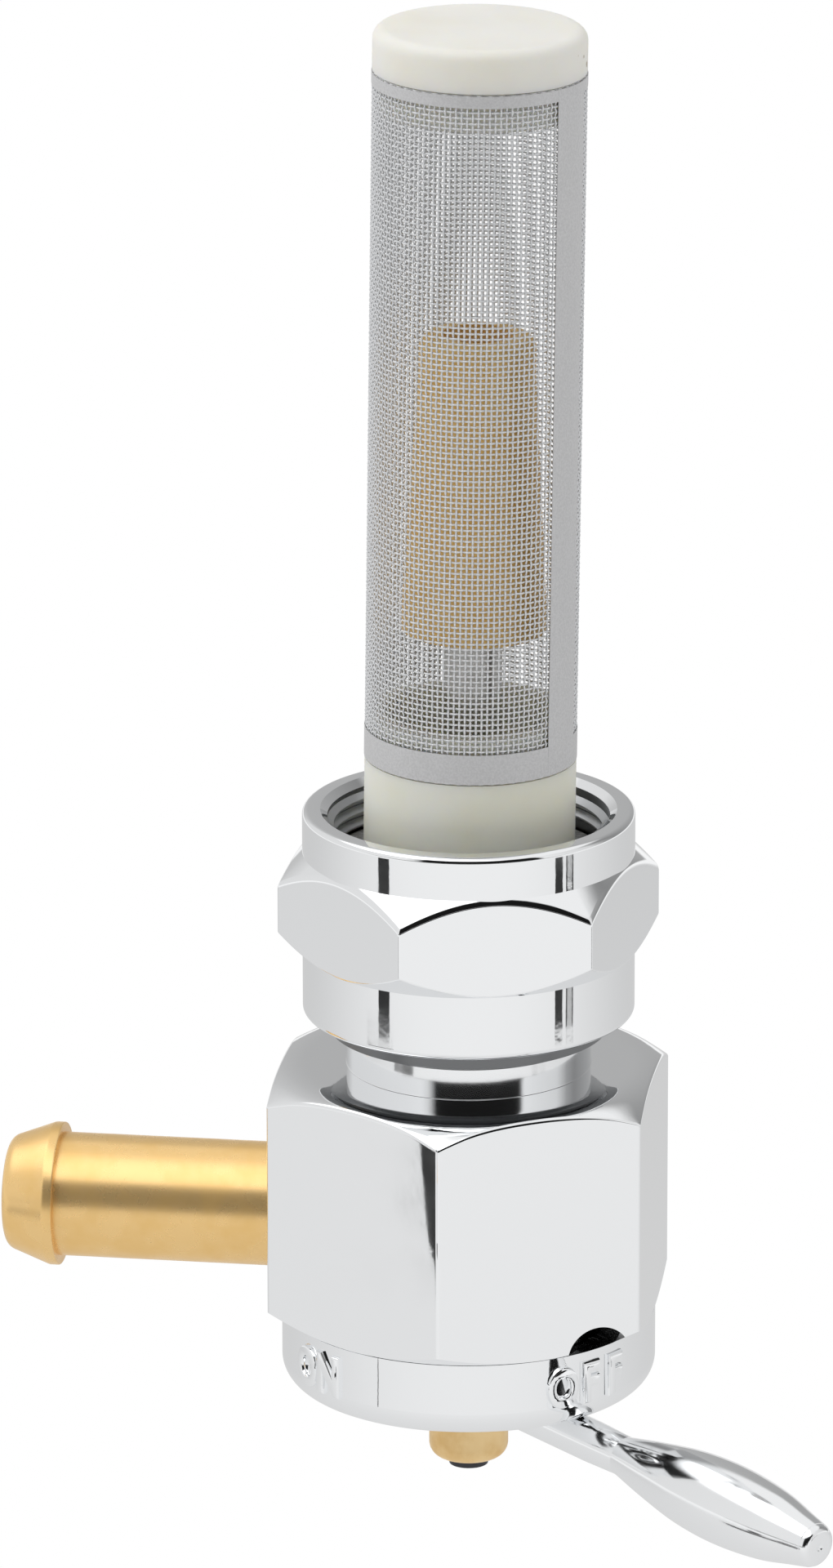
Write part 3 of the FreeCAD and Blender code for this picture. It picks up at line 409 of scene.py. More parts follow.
def finish_mesh(shape, name, material, smooth_below):
    """Makes a linked object of a bmesh, smooth but for edges sharper than an angle in degrees."""
    for face in shape.faces:
        face.smooth = True
    for edge in shape.edges:
        edge.smooth = edge.calc_face_angle(math.pi) < math.radians(smooth_below)
    mesh = bpy.data.meshes.new(name)
    shape.to_mesh(mesh)
    shape.free()
    mesh.materials.append(material)
    piece = bpy.data.objects.new(name, mesh)
    bpy.context.collection.objects.link(piece)
    return piece


def bar_sides(half, corner_round):
    """Angles round a hexagon bar and how far its side is from the axis there, with rounded corners."""
    corner = math.radians(30)
    centre = (half - corner_round) / math.cos(corner)
    last = math.atan((half - corner_round) * math.tan(corner) / half)
    inside = last - BESIDE / half
    offs = [-last] + [inside * (2 * step / FLAT_STEPS - 1) for step in range(FLAT_STEPS + 1)] + [last]
    sides = []
    for flat in range(6):
        middle = math.radians(60) * flat
        sides += [(middle + off, half / math.cos(off)) for off in offs]
        for step in range(1, CORNER_STEPS):
            off = last + (corner - last) * 2 * step / CORNER_STEPS
            aside = centre * math.sin(corner - off)
            reach = centre * math.cos(corner - off) + math.sqrt(corner_round ** 2 - aside ** 2)
            sides.append((middle + off, reach))
    return sides


def run_out(reach, start, level, slope, round_off, side, limit):
    """The section where a bar's side turns in to a slope at its end, from the slope to the side.

    The slope starts on a radius at a level. Where the round edge is wider than the slope, it stops at limit,
    a level, or at the radius start where limit is None."""
    edge = level - side * slope * (reach - start)
    tilt = math.radians(90) - math.atan(slope)
    tangent = round_off * math.tan(tilt / 2)
    if limit is None:
        most = math.acos(max(0.0, 1 - (reach - start) / round_off))
    else:
        most = math.asin(max(0.0, min(1.0, (side * (limit - edge) + tangent) / round_off)))
    tilt = min(tilt, most)
    points = []
    for step in range(ROUND_STEPS + 1):
        turn = tilt * (1 - step / ROUND_STEPS)
        across = reach - round_off * (1 - math.cos(turn))
        points.append((across, edge - side * (tangent - round_off * math.sin(turn))))
    return points + [(reach, edge - side * (tangent + BESIDE))]


def dome_level(radius, start, top, slope, round_off):
    """Level and slope of an end face that rounds over to a cone, the cone's line starting at radius start."""
    tilt = math.atan(slope)
    reach = round_off * math.tan(tilt / 2)
    if radius <= start - reach:
        return top, 0.0
    if radius >= start + reach * math.cos(tilt):
        return top - slope * (radius - start), slope
    along = radius - (start - reach)
    down = round_off - math.sqrt(round_off ** 2 - along ** 2)
    return top - down, along / math.sqrt(round_off ** 2 - along ** 2)


def quarter_round(across, level, radius, start):
    """A quarter circle about a point, from an angle on."""
    turns = [math.radians(start + 90 * step / QUARTER_STEPS) for step in range(QUARTER_STEPS + 1)]
    return [(across + radius * math.cos(turn), level + radius * math.sin(turn)) for turn in turns]


def loft_sections(sections):
    """A closed solid through closed sections, each an angle and its (radius, level) points."""
    shape = bmesh.new()
    rings = []
    for angle, points in sections:
        spots = [(radius * math.cos(angle), radius * math.sin(angle), level) for radius, level in points]
        rings.append([shape.verts.new(spot) for spot in spots])
    count = len(rings[0])
    for here, there in zip(rings, rings[1:] + rings[:1]):
        for index in range(count):
            after = (index + 1) % count
            shape.faces.new((here[index], here[after], there[after], there[index]))
    bmesh.ops.dissolve_degenerate(shape, edges=shape.edges, dist=NEAR)
    bmesh.ops.recalc_face_normals(shape, faces=shape.faces)
    return shape


def drilled(shape, radius, start, direction, length):
    """A bmesh with a round hole cut in it from a point on, along a level direction."""
    solid = bpy.data.meshes.new("solid")
    shape.to_mesh(solid)
    shape.free()
    blank = bpy.data.objects.new("blank", solid)
    tool_shape = bmesh.new()
    turn = Vector((0, 0, 1)).rotation_difference(direction).to_matrix().to_4x4()
    spot = Matrix.Translation(Vector(start) + direction * length / 2) @ turn
    bmesh.ops.create_cone(
        tool_shape, cap_ends=True, segments=DRILL_SIDES, radius1=radius, radius2=radius, depth=length,
        matrix=spot,
    )
    tool_mesh = bpy.data.meshes.new("drill")
    tool_shape.to_mesh(tool_mesh)
    tool_shape.free()
    tool = bpy.data.objects.new("drill", tool_mesh)
    for item in (blank, tool):
        bpy.context.collection.objects.link(item)
    hole = blank.modifiers.new("hole", "BOOLEAN")
    hole.operation = "DIFFERENCE"
    hole.object = tool
    graph = bpy.context.evaluated_depsgraph_get()
    done = bpy.data.meshes.new_from_object(blank.evaluated_get(graph))
    result = bmesh.new()
    result.from_mesh(done)
    for item in (blank, tool):
        bpy.data.objects.remove(item)
    for mesh in (solid, tool_mesh, done):
        bpy.data.meshes.remove(mesh)
    return result


half = BODY_FLATS / 2
boss_and_bore = [
    (BOSS_RADIUS, BOSS_ROOT), (BOSS_RADIUS, BOSS_FOOT + BOSS_BEVEL), (BOSS_RADIUS - BOSS_BEVEL, BOSS_FOOT),
    (STEM_HOLE_RADIUS, BOSS_FOOT), (STEM_HOLE_RADIUS, GLAND_FOOT),
    (GLAND_RADIUS, GLAND_FOOT), (GLAND_RADIUS, CHAMBER_FOOT),
    (CHAMBER_RADIUS, CHAMBER_FOOT), (CHAMBER_RADIUS, WELL_FOOT),
    (WELL_RADIUS, WELL_FOOT), (WELL_RADIUS, NECK_TOP),
]
neck = [
    (NECK_THREAD_RADIUS - NECK_BEVEL, NECK_TOP), (NECK_THREAD_RADIUS, NECK_TOP - NECK_BEVEL),
    (NECK_THREAD_RADIUS, NECK_THREAD_END), (NECK_RADIUS, NECK_RELIEF_TOP),
]
root = [(NECK_RADIUS, BODY_TOP + NECK_ROOT_ROUND + BESIDE)]
root += quarter_round(NECK_RADIUS + NECK_ROOT_ROUND, BODY_TOP + NECK_ROOT_ROUND, NECK_ROOT_ROUND, 180)
root.append((NECK_RADIUS + NECK_ROOT_ROUND + BESIDE, BODY_TOP))
corner_reach = half / math.cos(math.radians(30))
top_slope = BODY_TOP_CONE[1] / (corner_reach - BODY_TOP_CONE[0])
foot_slope = BODY_FOOT_CONE[1] / (corner_reach - BODY_FOOT_CONE[0])
sections = []
for angle, reach in bar_sides(half, BODY_CORNER_ROUND):
    level, slope = dome_level(reach, BODY_TOP_CONE[0], BODY_TOP, top_slope, BODY_DOME_ROUND)
    top = run_out(reach, reach, level, slope, BODY_TOP_ROUND, 1, BODY_TOP)
    dome = []
    for step in range(DOME_STEPS):
        along = DOME_FROM + (1 - DOME_FROM) * step / DOME_STEPS
        across = root[-1][0] + (top[0][0] - root[-1][0]) * along
        dome.append((across, dome_level(across, BODY_TOP_CONE[0], BODY_TOP, top_slope, BODY_DOME_ROUND)[0]))
    foot = run_out(reach, BODY_FOOT_CONE[0], BODY_FOOT, foot_slope, BODY_FOOT_ROUND, -1, BODY_FOOT)
    foot.append((min(BODY_FOOT_CONE[0], foot[0][0]), BODY_FOOT))
    foot = foot[-2::-1] + foot[-1:]
    rows = []
    for step in range(1, SIDE_ROWS):
        rows.append((reach, top[-1][1] + (foot[0][1] - top[-1][1]) * step / SIDE_ROWS))
    side = top + rows + foot
    off = angle - math.radians(60) * WORN_FLAT
    aside = half * (math.tan(math.radians(30)) - math.tan(off)) if abs(off) < math.radians(30) else half
    worn = []
    for across, level in side:
        depth = WORN_REACH * max(0.0, min(1.0, (level - WORN_FOOT) / (WORN_TOP - WORN_FOOT)))
        if aside < depth and level < WORN_TOP + WORN_OVER:
            across -= WORN_FALL * (depth - aside) ** 2 / (2 * depth)
        worn.append((across, level))
    sections.append((angle, dome + worn + boss_and_bore + neck + root))
shape = loft_sections(sections)
notch_way = Vector((math.cos(NOTCH_AXIS), math.sin(NOTCH_AXIS), 0))
notch_from = notch_way * NOTCH_START + Vector((0, 0, NOTCH_LEVEL))
shape = drilled(shape, NOTCH_RADIUS, notch_from, notch_way, NOTCH_DEPTH)
for radius, start in ((SPIGOT_RADIUS, -SPIGOT_ROOT), (OUTLET_RADIUS, 0)):
    shape = drilled(shape, radius, (start, 0, SPIGOT_LEVEL), Vector((-1, 0, 0)), BODY_FLATS)
polished_body = finish_mesh(shape, "polished_body", body_chrome, smooth_below=17)
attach(polished_body, "body")
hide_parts("valve_body")

# Union nut: turned from hexagon bar and chrome plated like the body, with its curved edges rounded still
# more by polishing. A right-hand thread for the tank's bung is cut in its mouth, and three turns of it show.
NUT_TURNED = math.radians(-12.7)
NUT_FLATS = 25.4 * MM
NUT_RING_RADIUS = 12.6 * MM
NUT_HEIGHT = 15.95 * MM
NUT_HEXAGON = (-3.3 * MM, -10.95 * MM)
NUT_TOP_FALL = 2.05 * MM
NUT_FOOT_FALL = 1.85 * MM
NUT_TOP_ROUND = 1.1 * MM
NUT_FOOT_ROUND = 0.2 * MM
NUT_CORNER_ROUND = 0.3 * MM
NUT_RIM_ROUND = 0.45 * MM
NUT_MOUTH_BEVEL = 0.55 * MM
NUT_DULL_RADIUS = 10.7 * MM
THREAD_RADIUS = 10.675 * MM
THREAD_DEPTH = 0.5 * MM
THREAD_PITCH = 1.0 * MM
# half the thread's width at its root and at its crest, as shares of the pitch
THREAD_ROOT_SHARE = 0.46
THREAD_CREST_SHARE = 0.06
THREAD_SUNK = 0.02 * MM
THREAD_TOP = -0.75 * MM
THREAD_TURNS = 2.85
THREAD_STEPS = 96
THREAD_COLOUR = (0.5, 0.51, 0.52, 1)

nut_chrome, tree, shader, place = chrome_plate("nut_chrome")
parts = add_node(tree, "ShaderNodeSeparateXYZ", Vector=place).outputs
# the nut's inside and underside are dulled, and darkened as painted shade
inside = reckon(tree, "LESS_THAN", from_axis(tree, parts["X"], parts["Y"]), NUT_DULL_RADIUS)
under = reckon(tree, "LESS_THAN", parts["Z"], BESIDE / 2 - NUT_HEIGHT)
dull_and_shade(tree, shader, reckon(tree, "MAXIMUM", inside, under))
half = NUT_FLATS / 2
rim_centre = NUT_RING_RADIUS - NUT_RIM_ROUND
rim = [(NUT_RING_RADIUS, -NUT_RIM_ROUND - BESIDE)]
rim += quarter_round(rim_centre, -NUT_RIM_ROUND, NUT_RIM_ROUND, 0)
foot_rim = quarter_round(rim_centre, NUT_RIM_ROUND - NUT_HEIGHT, NUT_RIM_ROUND, -90)
foot_rim.append((NUT_RING_RADIUS, NUT_RIM_ROUND - NUT_HEIGHT + BESIDE))
mouth = THREAD_RADIUS + NUT_MOUTH_BEVEL
bore = [
    (mouth, 0), (THREAD_RADIUS, -NUT_MOUTH_BEVEL), (THREAD_RADIUS, NUT_MOUTH_BEVEL - NUT_HEIGHT),
    (mouth, -NUT_HEIGHT),
]
corner_reach = half / math.cos(math.radians(30))
top_slope = NUT_TOP_FALL / (corner_reach - NUT_RING_RADIUS)
foot_slope = NUT_FOOT_FALL / (corner_reach - NUT_RING_RADIUS)
sections = []
for angle, reach in bar_sides(half, NUT_CORNER_ROUND):
    top = run_out(reach, NUT_RING_RADIUS, NUT_HEXAGON[0], top_slope, NUT_TOP_ROUND, 1, None)
    foot = run_out(reach, NUT_RING_RADIUS, NUT_HEXAGON[1], foot_slope, NUT_FOOT_ROUND, -1, None)
    for line, level in ((top, NUT_HEXAGON[0]), (foot, NUT_HEXAGON[1])):
        meets_ring = line[0][0] <= NUT_RING_RADIUS + NEAR
        line.insert(0, line[0] if meets_ring else (NUT_RING_RADIUS, level))
    sections.append((angle + NUT_TURNED, foot_rim + foot + top[::-1] + rim + bore))
polished_nut = finish_mesh(loft_sections(sections), "polished_nut", nut_chrome, smooth_below=17)
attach(polished_nut, "nut")
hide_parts("union_nut")


def patchy_roughness(tree, shader, place, scale, low, high):
    """Roughness that goes from low to high in soft patches."""
    patches = ramp(tree, noise(tree, place, scale, 2), 0.3, 0.7, low, high)
    tree.links.new(patches, shader.inputs["Roughness"])


# the thread's turns lie in the dull mouth with its painted shade, darker and rougher than the polished
# outside
shape = bmesh.new()
root = THREAD_RADIUS + THREAD_SUNK
half = THREAD_PITCH * THREAD_ROOT_SHARE
crest = THREAD_PITCH * THREAD_CREST_SHARE
corners = [(root, half), (root - THREAD_DEPTH, crest), (root - THREAD_DEPTH, -crest), (root, -half)]
ends = [shape.verts.new((radius, 0, THREAD_TOP + level)) for radius, level in corners]
ring = [shape.edges.new((ends[index], ends[(index + 1) % 4])) for index in range(4)]
bmesh.ops.spin(
    shape,
    geom=ends + ring,
    cent=(0, 0, 0),
    axis=(0, 0, -1),
    dvec=(0, 0, -THREAD_PITCH / THREAD_STEPS),
    angle=math.radians(360) * THREAD_TURNS,
    steps=round(THREAD_STEPS * THREAD_TURNS),
    use_merge=False,
)
bmesh.ops.holes_fill(shape, edges=[edge for edge in shape.edges if edge.is_boundary], sides=4)
bmesh.ops.recalc_face_normals(shape, faces=shape.faces)
thread_chrome, tree, shader, place = start_material("thread_chrome")
shader.inputs["Metallic"].default_value = 1.0
shader.inputs["Base Color"].default_value = THREAD_COLOUR
patchy_roughness(tree, shader, place, 900, 0.3, 0.42)
tank_thread = finish_mesh(shape, "tank_thread_turns", thread_chrome, smooth_below=20)
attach(tank_thread, "nut")

# Sealing washer: a flat ring of pressed grey fibre with a fine speckle. It lies on top of the neck, inside
# the nut, and is squeezed against the tank's bung when the nut is screwed up.
FIBRE_GREYS = (0.16, 0.3)
FIBRE_ROUGHNESS = 0.75

fibre, tree, shader, place = start_material("grey_fibre")
speckle = ramp(tree, noise(tree, place, 3000, 3), 0.3, 0.7, *FIBRE_GREYS)
tree.links.new(grey(tree, speckle), shader.inputs["Base Color"])
shader.inputs["Roughness"].default_value = FIBRE_ROUGHNESS
tree.links.new(bump(tree, noise(tree, place, 2500, 2), 2e-5), shader.inputs["Normal"])
dress_node("neck_gasket", fibre)

# Hose spigot: turned from brass rod and left bare, with fine tool marks round it and slight tarnish. It has
# one barb with a square back and a blunt round nose. It is made again here for the soft edges of both.
BRASS_BRIGHT = (0.97, 0.66, 0.29, 1)
BRASS_DULL = (0.93, 0.61, 0.235, 1)
# how much of it shines like metal, the rest is a film of tarnish
BRASS_METAL = 0.66
SPIGOT_BORE = 3.2 * MM
BARB_RADIUS = 5.5 * MM
BARB_BACK = 31.46 * MM
BARB_LAND_END = 32.19 * MM
BARB_ROUND = 0.12 * MM
BARB_SLOPE = 0.35
BARB_STEPS = 4
NOSE_START = (34.79 * MM, 4.52 * MM)
NOSE_CORNER = (35.54 * MM, 4.3 * MM)
NOSE_END = (35.64 * MM, 3.55 * MM)
NOSE_STEPS = 8
TURNED_STEPS = 96


def turned_shape(outline, turn):
    """A bmesh turned from an outline of (along, radius) points about X, then moved by a matrix."""
    shape = bmesh.new()
    ends = [shape.verts.new((along, 0, radius)) for along, radius in outline]
    line = [shape.edges.new(pair) for pair in zip(ends, ends[1:])]
    bmesh.ops.spin(
        shape, geom=ends + line, cent=(0, 0, 0), axis=(1, 0, 0), angle=math.radians(360), steps=TURNED_STEPS,
        use_merge=True,
    )
    bmesh.ops.remove_doubles(shape, verts=shape.verts, dist=NEAR)
    bmesh.ops.recalc_face_normals(shape, faces=shape.faces)
    bmesh.ops.transform(shape, matrix=turn, verts=shape.verts)
    return shape


def bend(start, corner, end, steps):
    """Points of a soft curve from start to end that leaves towards the corner."""
    points = []
    for step in range(steps + 1):
        t = step / steps
        points.append(tuple(
            (1 - t) ** 2 * a + 2 * t * (1 - t) * b + t ** 2 * c for a, b, c in zip(start, corner, end)
        ))
    return points


def turned_brass(
    name, axis, bright=BRASS_BRIGHT, dull=BRASS_DULL, roughness=(0.26, 0.32), mark=3e-6, metal=BRASS_METAL
):
    """Bare brass with tool marks in rings about an axis, X or Z."""
    material, tree, shader, place = start_material(name)
    shader.inputs["Metallic"].default_value = metal
    shader.inputs["Specular IOR Level"].default_value = 0.2
    parts = add_node(tree, "ShaderNodeSeparateXYZ", Vector=place).outputs
    along = add_node(tree, "ShaderNodeCombineXYZ", X=parts[axis]).outputs[0]
    marks = noise(tree, along, 9000, 3)
    patches = noise(tree, place, 400, 4)
    tint = blend_colours(tree, ramp(tree, patches, 0.35, 0.75), bright, dull)
    tree.links.new(tint, shader.inputs["Base Color"])
    tree.links.new(ramp(tree, patches, 0.3, 0.8, *roughness), shader.inputs["Roughness"])
    tree.links.new(bump(tree, marks, mark), shader.inputs["Normal"])
    return material


spigot_brass = turned_brass("spigot_brass", "X")
dress_node("hose_spigot", spigot_brass)
outline = [(SPIGOT_ROOT, SPIGOT_BORE), (SPIGOT_ROOT, SPIGOT_RADIUS), (BARB_BACK, SPIGOT_RADIUS)]
outline += bend(
    (BARB_BACK, BARB_RADIUS - BARB_ROUND), (BARB_BACK, BARB_RADIUS), (BARB_BACK + BARB_ROUND, BARB_RADIUS),
    BARB_STEPS,
)
outline += bend(
    (BARB_LAND_END - BARB_ROUND, BARB_RADIUS), (BARB_LAND_END, BARB_RADIUS),
    (BARB_LAND_END + BARB_ROUND, BARB_RADIUS - BARB_ROUND * BARB_SLOPE), BARB_STEPS,
)
outline += bend(NOSE_START, NOSE_CORNER, NOSE_END, NOSE_STEPS)
outline += [(NOSE_END[0], SPIGOT_BORE), (SPIGOT_ROOT, SPIGOT_BORE)]
sideways = Matrix.Translation((0, 0, SPIGOT_LEVEL)) @ Matrix.Rotation(math.radians(180), 4, "Z")
turned_spigot = finish_mesh(
    turned_shape(outline, sideways), "turned_spigot", spigot_brass, smooth_below=25
)
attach(turned_spigot, "body")
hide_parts("hose_spigot")

# Screen collar and cap: moulded in ivory nylon, a little translucent. The collar stands in the neck, and the
# cap closes the cloth's upper end. A few specks of dirt are on the cap.
NYLON_COLOUR = (0.95, 0.93, 0.87, 1)
NYLON_SHADE = (0.92, 0.89, 0.8, 1)
COLLAR_COLOUR = (0.95, 0.94, 0.83, 1)
COLLAR_SHADE = (0.92, 0.9, 0.75, 1)
NYLON_DEPTH = 2.0 * MM
SPECK_COLOUR = (0.34, 0.24, 0.15, 1)
# place and size of each speck
CAP_SPECKS = [
    (Vector((8.55, -1.1, 58.9)) * MM, 0.3 * MM), (Vector((8.7, -0.1, 58.1)) * MM, 0.36 * MM),
    (Vector((8.3, -2.2, 59.3)) * MM, 0.24 * MM),
]


def ivory_nylon(name, specks, bright=NYLON_COLOUR, shade=NYLON_SHADE):
    """Nylon with faint clouds in its colour, and ragged specks at the given places."""
    material, tree, shader, place = start_material(name)
    colour = blend_colours(tree, ramp(tree, noise(tree, place, 120, 3), 0.35, 0.7), bright, shade)
    for spot, reach in specks:
        away = add_node(tree, "ShaderNodeVectorMath", {"operation": "DISTANCE"}, i0=place, i1=spot)
        torn = reckon(tree, "MULTIPLY_ADD", noise(tree, place, 4000, 3), reach, away.outputs["Value"])
        colour = blend_colours(tree, ramp(tree, torn, reach * 1.5, reach * 0.9), colour, SPECK_COLOUR)
    tree.links.new(colour, shader.inputs["Base Color"])
    shader.inputs["Subsurface Weight"].default_value = 0.5
    shader.inputs["Subsurface Radius"].default_value = (1.0, 0.85, 0.6)
    shader.inputs["Subsurface Scale"].default_value = NYLON_DEPTH
    patchy_roughness(tree, shader, place, 300, 0.38, 0.5)
    tree.links.new(bump(tree, noise(tree, place, 700, 3), 1.2e-5), shader.inputs["Normal"])
    return material


dress_node("screen_collar", ivory_nylon("collar_nylon", [], COLLAR_COLOUR, COLLAR_SHADE))
dress_node("screen_cap", ivory_nylon("cap_nylon", CAP_SPECKS))

# Screen: stainless wire cloth in plain weave, about sixty wires to the inch, rolled into a tube. Its edges
# lap over each other in a plain strip, and its ends are pressed flat where the nylon holds them.
SCREEN_LEAN = math.radians(0.75)
LEAN_TOWARDS = math.radians(8.2)
LEAN_POINT = Vector((0, 0, -6 * MM))
CLOTH_RADIUS = 7.86 * MM
WIRE_RADIUS = 0.085 * MM
WIRES_ROUND = 118
CLOTH_FOOT = 4.32 * MM
CLOTH_TOP = 57.25 * MM
RINGS = 126
LAP_FROM = math.radians(-35.5)
LAP_SPAN = math.radians(27)
LAP_RADIUS = 8.05 * MM
LAP_THICKNESS = 0.05 * MM
# steps of a strip to the radian
STRIP_STEPS = 24
PRESSED_RADIUS = 8.04 * MM
PRESSED_FOOT = 2.3 * MM
PRESSED_TOP = 0.9 * MM
WIRE_COLOUR = (0.84, 0.85, 0.865, 1)
WIRE_METAL = 0.25
LAP_METAL = 0.3
LAP_ROUGHNESS = 0.4
LAP_GREYS = (0.6, 0.68)

lean = Matrix.Rotation(SCREEN_LEAN, 4, Vector((-math.sin(LEAN_TOWARDS), math.cos(LEAN_TOWARDS), 0)))
lean = Matrix.Translation(LEAN_POINT) @ lean @ Matrix.Translation(-LEAN_POINT)
ring_pitch = (CLOTH_TOP - CLOTH_FOOT) / RINGS
turn_pitch = math.radians(360) / WIRES_ROUND

wire_steel, tree, shader, place = start_material("wire_steel")
shader.inputs["Metallic"].default_value = WIRE_METAL
shader.inputs["Base Color"].default_value = WIRE_COLOUR
patchy_roughness(tree, shader, place, 2500, 0.25, 0.4)


def square_end(shape, radius, level, upright):
    """Four corners of a wire's cross-section at the cloth's radius, set like a diamond."""
    steps = [(1, 0), (0, 1), (-1, 0), (0, -1)]
    if upright:
        spots = [(radius + a * WIRE_RADIUS, b * WIRE_RADIUS, level) for a, b in steps]
    else:
        spots = [(radius + a * WIRE_RADIUS, 0, level + b * WIRE_RADIUS) for a, b in steps]
    ends = [shape.verts.new(spot) for spot in spots]
    return ends + [shape.edges.new((ends[index], ends[(index + 1) % 4])) for index in range(4)]


def weave(vert, phase):
    """Moves a corner of a wire out or in, by which side of the crossing wire it passes."""
    radius = math.hypot(vert.co.x, vert.co.y)
    shift = WIRE_RADIUS * (1 if phase % 2 else -1)
    vert.co.x *= (radius + shift) / radius
    vert.co.y *= (radius + shift) / radius


ring_shape = bmesh.new()
bmesh.ops.spin(
    ring_shape,
    geom=square_end(ring_shape, CLOTH_RADIUS, 0, False),
    cent=(0, 0, 0),
    axis=(0, 0, 1),
    angle=math.radians(360),
    steps=WIRES_ROUND,
    use_merge=True,
)
for vert in ring_shape.verts:
    weave(vert, round(math.atan2(vert.co.y, vert.co.x) / turn_pitch))
one_ring = bpy.data.meshes.new("one_ring")
ring_shape.to_mesh(one_ring)
ring_shape.free()

stack = bmesh.new()
for index in range(RINGS + 1):
    count = len(stack.verts)
    stack.from_mesh(one_ring)
    stack.verts.ensure_lookup_table()
    fresh = stack.verts[count:]
    bmesh.ops.rotate(stack, verts=fresh, matrix=Matrix.Rotation(turn_pitch * (index % 2), 3, "Z"))
    bmesh.ops.translate(stack, verts=fresh, vec=(0, 0, CLOTH_FOOT + index * ring_pitch))
bmesh.ops.transform(stack, matrix=lean, verts=stack.verts)
bmesh.ops.recalc_face_normals(stack, faces=stack.faces)
ring_wires = finish_mesh(stack, "screen_ring_wires", wire_steel, smooth_below=120)

wire_shape = bmesh.new()
bmesh.ops.spin(
    wire_shape,
    geom=square_end(wire_shape, CLOTH_RADIUS, CLOTH_FOOT, True),
    cent=(0, 0, 0),
    axis=(0, 0, 1),
    dvec=(0, 0, ring_pitch),
    angle=0,
    steps=RINGS,
    use_merge=False,
)
for vert in wire_shape.verts:
    weave(vert, round((vert.co.z - CLOTH_FOOT) / ring_pitch) + 1)
bmesh.ops.holes_fill(wire_shape, edges=[edge for edge in wire_shape.edges if edge.is_boundary], sides=4)
one_wire = bpy.data.meshes.new("one_wire")
wire_shape.to_mesh(one_wire)
wire_shape.free()

fence = bmesh.new()
for index in range(WIRES_ROUND):
    count = len(fence.verts)
    fence.from_mesh(one_wire)
    fence.verts.ensure_lookup_table()
    fresh = fence.verts[count:]
    if index % 2:
        for vert in fresh:
            level = round((vert.co.z - CLOTH_FOOT) / ring_pitch)
            radius = math.hypot(vert.co.x, vert.co.y)
            shift = 2 * WIRE_RADIUS * (1 if (level + 1) % 2 == 0 else -1)
            vert.co.x *= (radius + shift) / radius
            vert.co.y *= (radius + shift) / radius
    bmesh.ops.rotate(fence, verts=fresh, matrix=Matrix.Rotation(turn_pitch * index, 3, "Z"))
bmesh.ops.transform(fence, matrix=lean, verts=fence.verts)
bmesh.ops.recalc_face_normals(fence, faces=fence.faces)
upright_wires = finish_mesh(fence, "screen_upright_wires", wire_steel, smooth_below=120)


def plain_strip(radius, low, high, start, span):
    """A bmesh of a thin strip round the screen's axis, between two levels."""
    strip = bmesh.new()
    upright = [strip.verts.new((radius, 0, level)) for level in (low, high)]
    bmesh.ops.spin(
        strip,
        geom=upright + [strip.edges.new(upright)],
        cent=(0, 0, 0),
        axis=(0, 0, 1),
        angle=span,
        steps=round(span * STRIP_STEPS),
        use_merge=span > math.radians(359),
    )
    bmesh.ops.rotate(strip, verts=strip.verts, matrix=Matrix.Rotation(start, 3, "Z"))
    bmesh.ops.recalc_face_normals(strip, faces=strip.faces)
    bmesh.ops.solidify(strip, geom=strip.faces[:], thickness=LAP_THICKNESS)
    bmesh.ops.transform(strip, matrix=lean, verts=strip.verts)
    bmesh.ops.recalc_face_normals(strip, faces=strip.faces)
    return strip


lap_steel, tree, shader, place = start_material("lap_steel")
shader.inputs["Metallic"].default_value = LAP_METAL
shader.inputs["Roughness"].default_value = LAP_ROUGHNESS
fine = ramp(tree, noise(tree, place, 6000, 3), 0.3, 0.7, *LAP_GREYS)
bluish = reckon(tree, "MULTIPLY", fine, 1.01)
steel_grey = add_node(tree, "ShaderNodeCombineColor", Red=fine, Green=fine, Blue=bluish).outputs[0]
tree.links.new(steel_grey, shader.inputs["Base Color"])
tree.links.new(bump(tree, noise(tree, place, 5000, 2), 1.5e-5), shader.inputs["Normal"])
full = math.radians(360)
lap = plain_strip(LAP_RADIUS, CLOTH_FOOT, CLOTH_TOP, LAP_FROM, LAP_SPAN)
pressed_foot = plain_strip(PRESSED_RADIUS, CLOTH_FOOT, CLOTH_FOOT + PRESSED_FOOT, 0, full)
pressed_top = plain_strip(PRESSED_RADIUS, CLOTH_TOP - PRESSED_TOP, CLOTH_TOP, 0, full)
lap_strip = finish_mesh(lap, "screen_lap", lap_steel, smooth_below=40)
foot_strip = finish_mesh(pressed_foot, "screen_pressed_foot", lap_steel, smooth_below=40)
top_strip = finish_mesh(pressed_top, "screen_pressed_top", lap_steel, smooth_below=40)

for piece in (ring_wires, upright_wires, lap_strip, foot_strip, top_strip):
    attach(piece, "body")
    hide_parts("screen_mesh")

# Standpipe: drawn steel tube, pressed in the inlet seat, that takes fuel from above the reserve. Its sleeve
# is turned brass, duller than the spigot. The springs, the ball and the pin inside are plain steel too.
STEEL_COLOUR = (0.62, 0.62, 0.61, 1)
SLEEVE_BRIGHT = (1.0, 0.69, 0.27, 1)
SLEEVE_DULL = (0.95, 0.61, 0.2, 1)

plain_steel, tree, shader, place = start_material("plain_steel")
shader.inputs["Metallic"].default_value = 1.0
shader.inputs["Base Color"].default_value = STEEL_COLOUR
patchy_roughness(tree, shader, place, 900, 0.2, 0.35)
for node in ("standpipe", "rotor_spring", "detent_ball", "detent_spring", "stop_pin"):
    dress_node(node, plain_steel)
sleeve_brass = turned_brass(
    "sleeve_brass", "Z", SLEEVE_BRIGHT, SLEEVE_DULL, roughness=(0.35, 0.45), mark=4e-6, metal=0.15
)
dress_node("standpipe_sleeve", sleeve_brass)

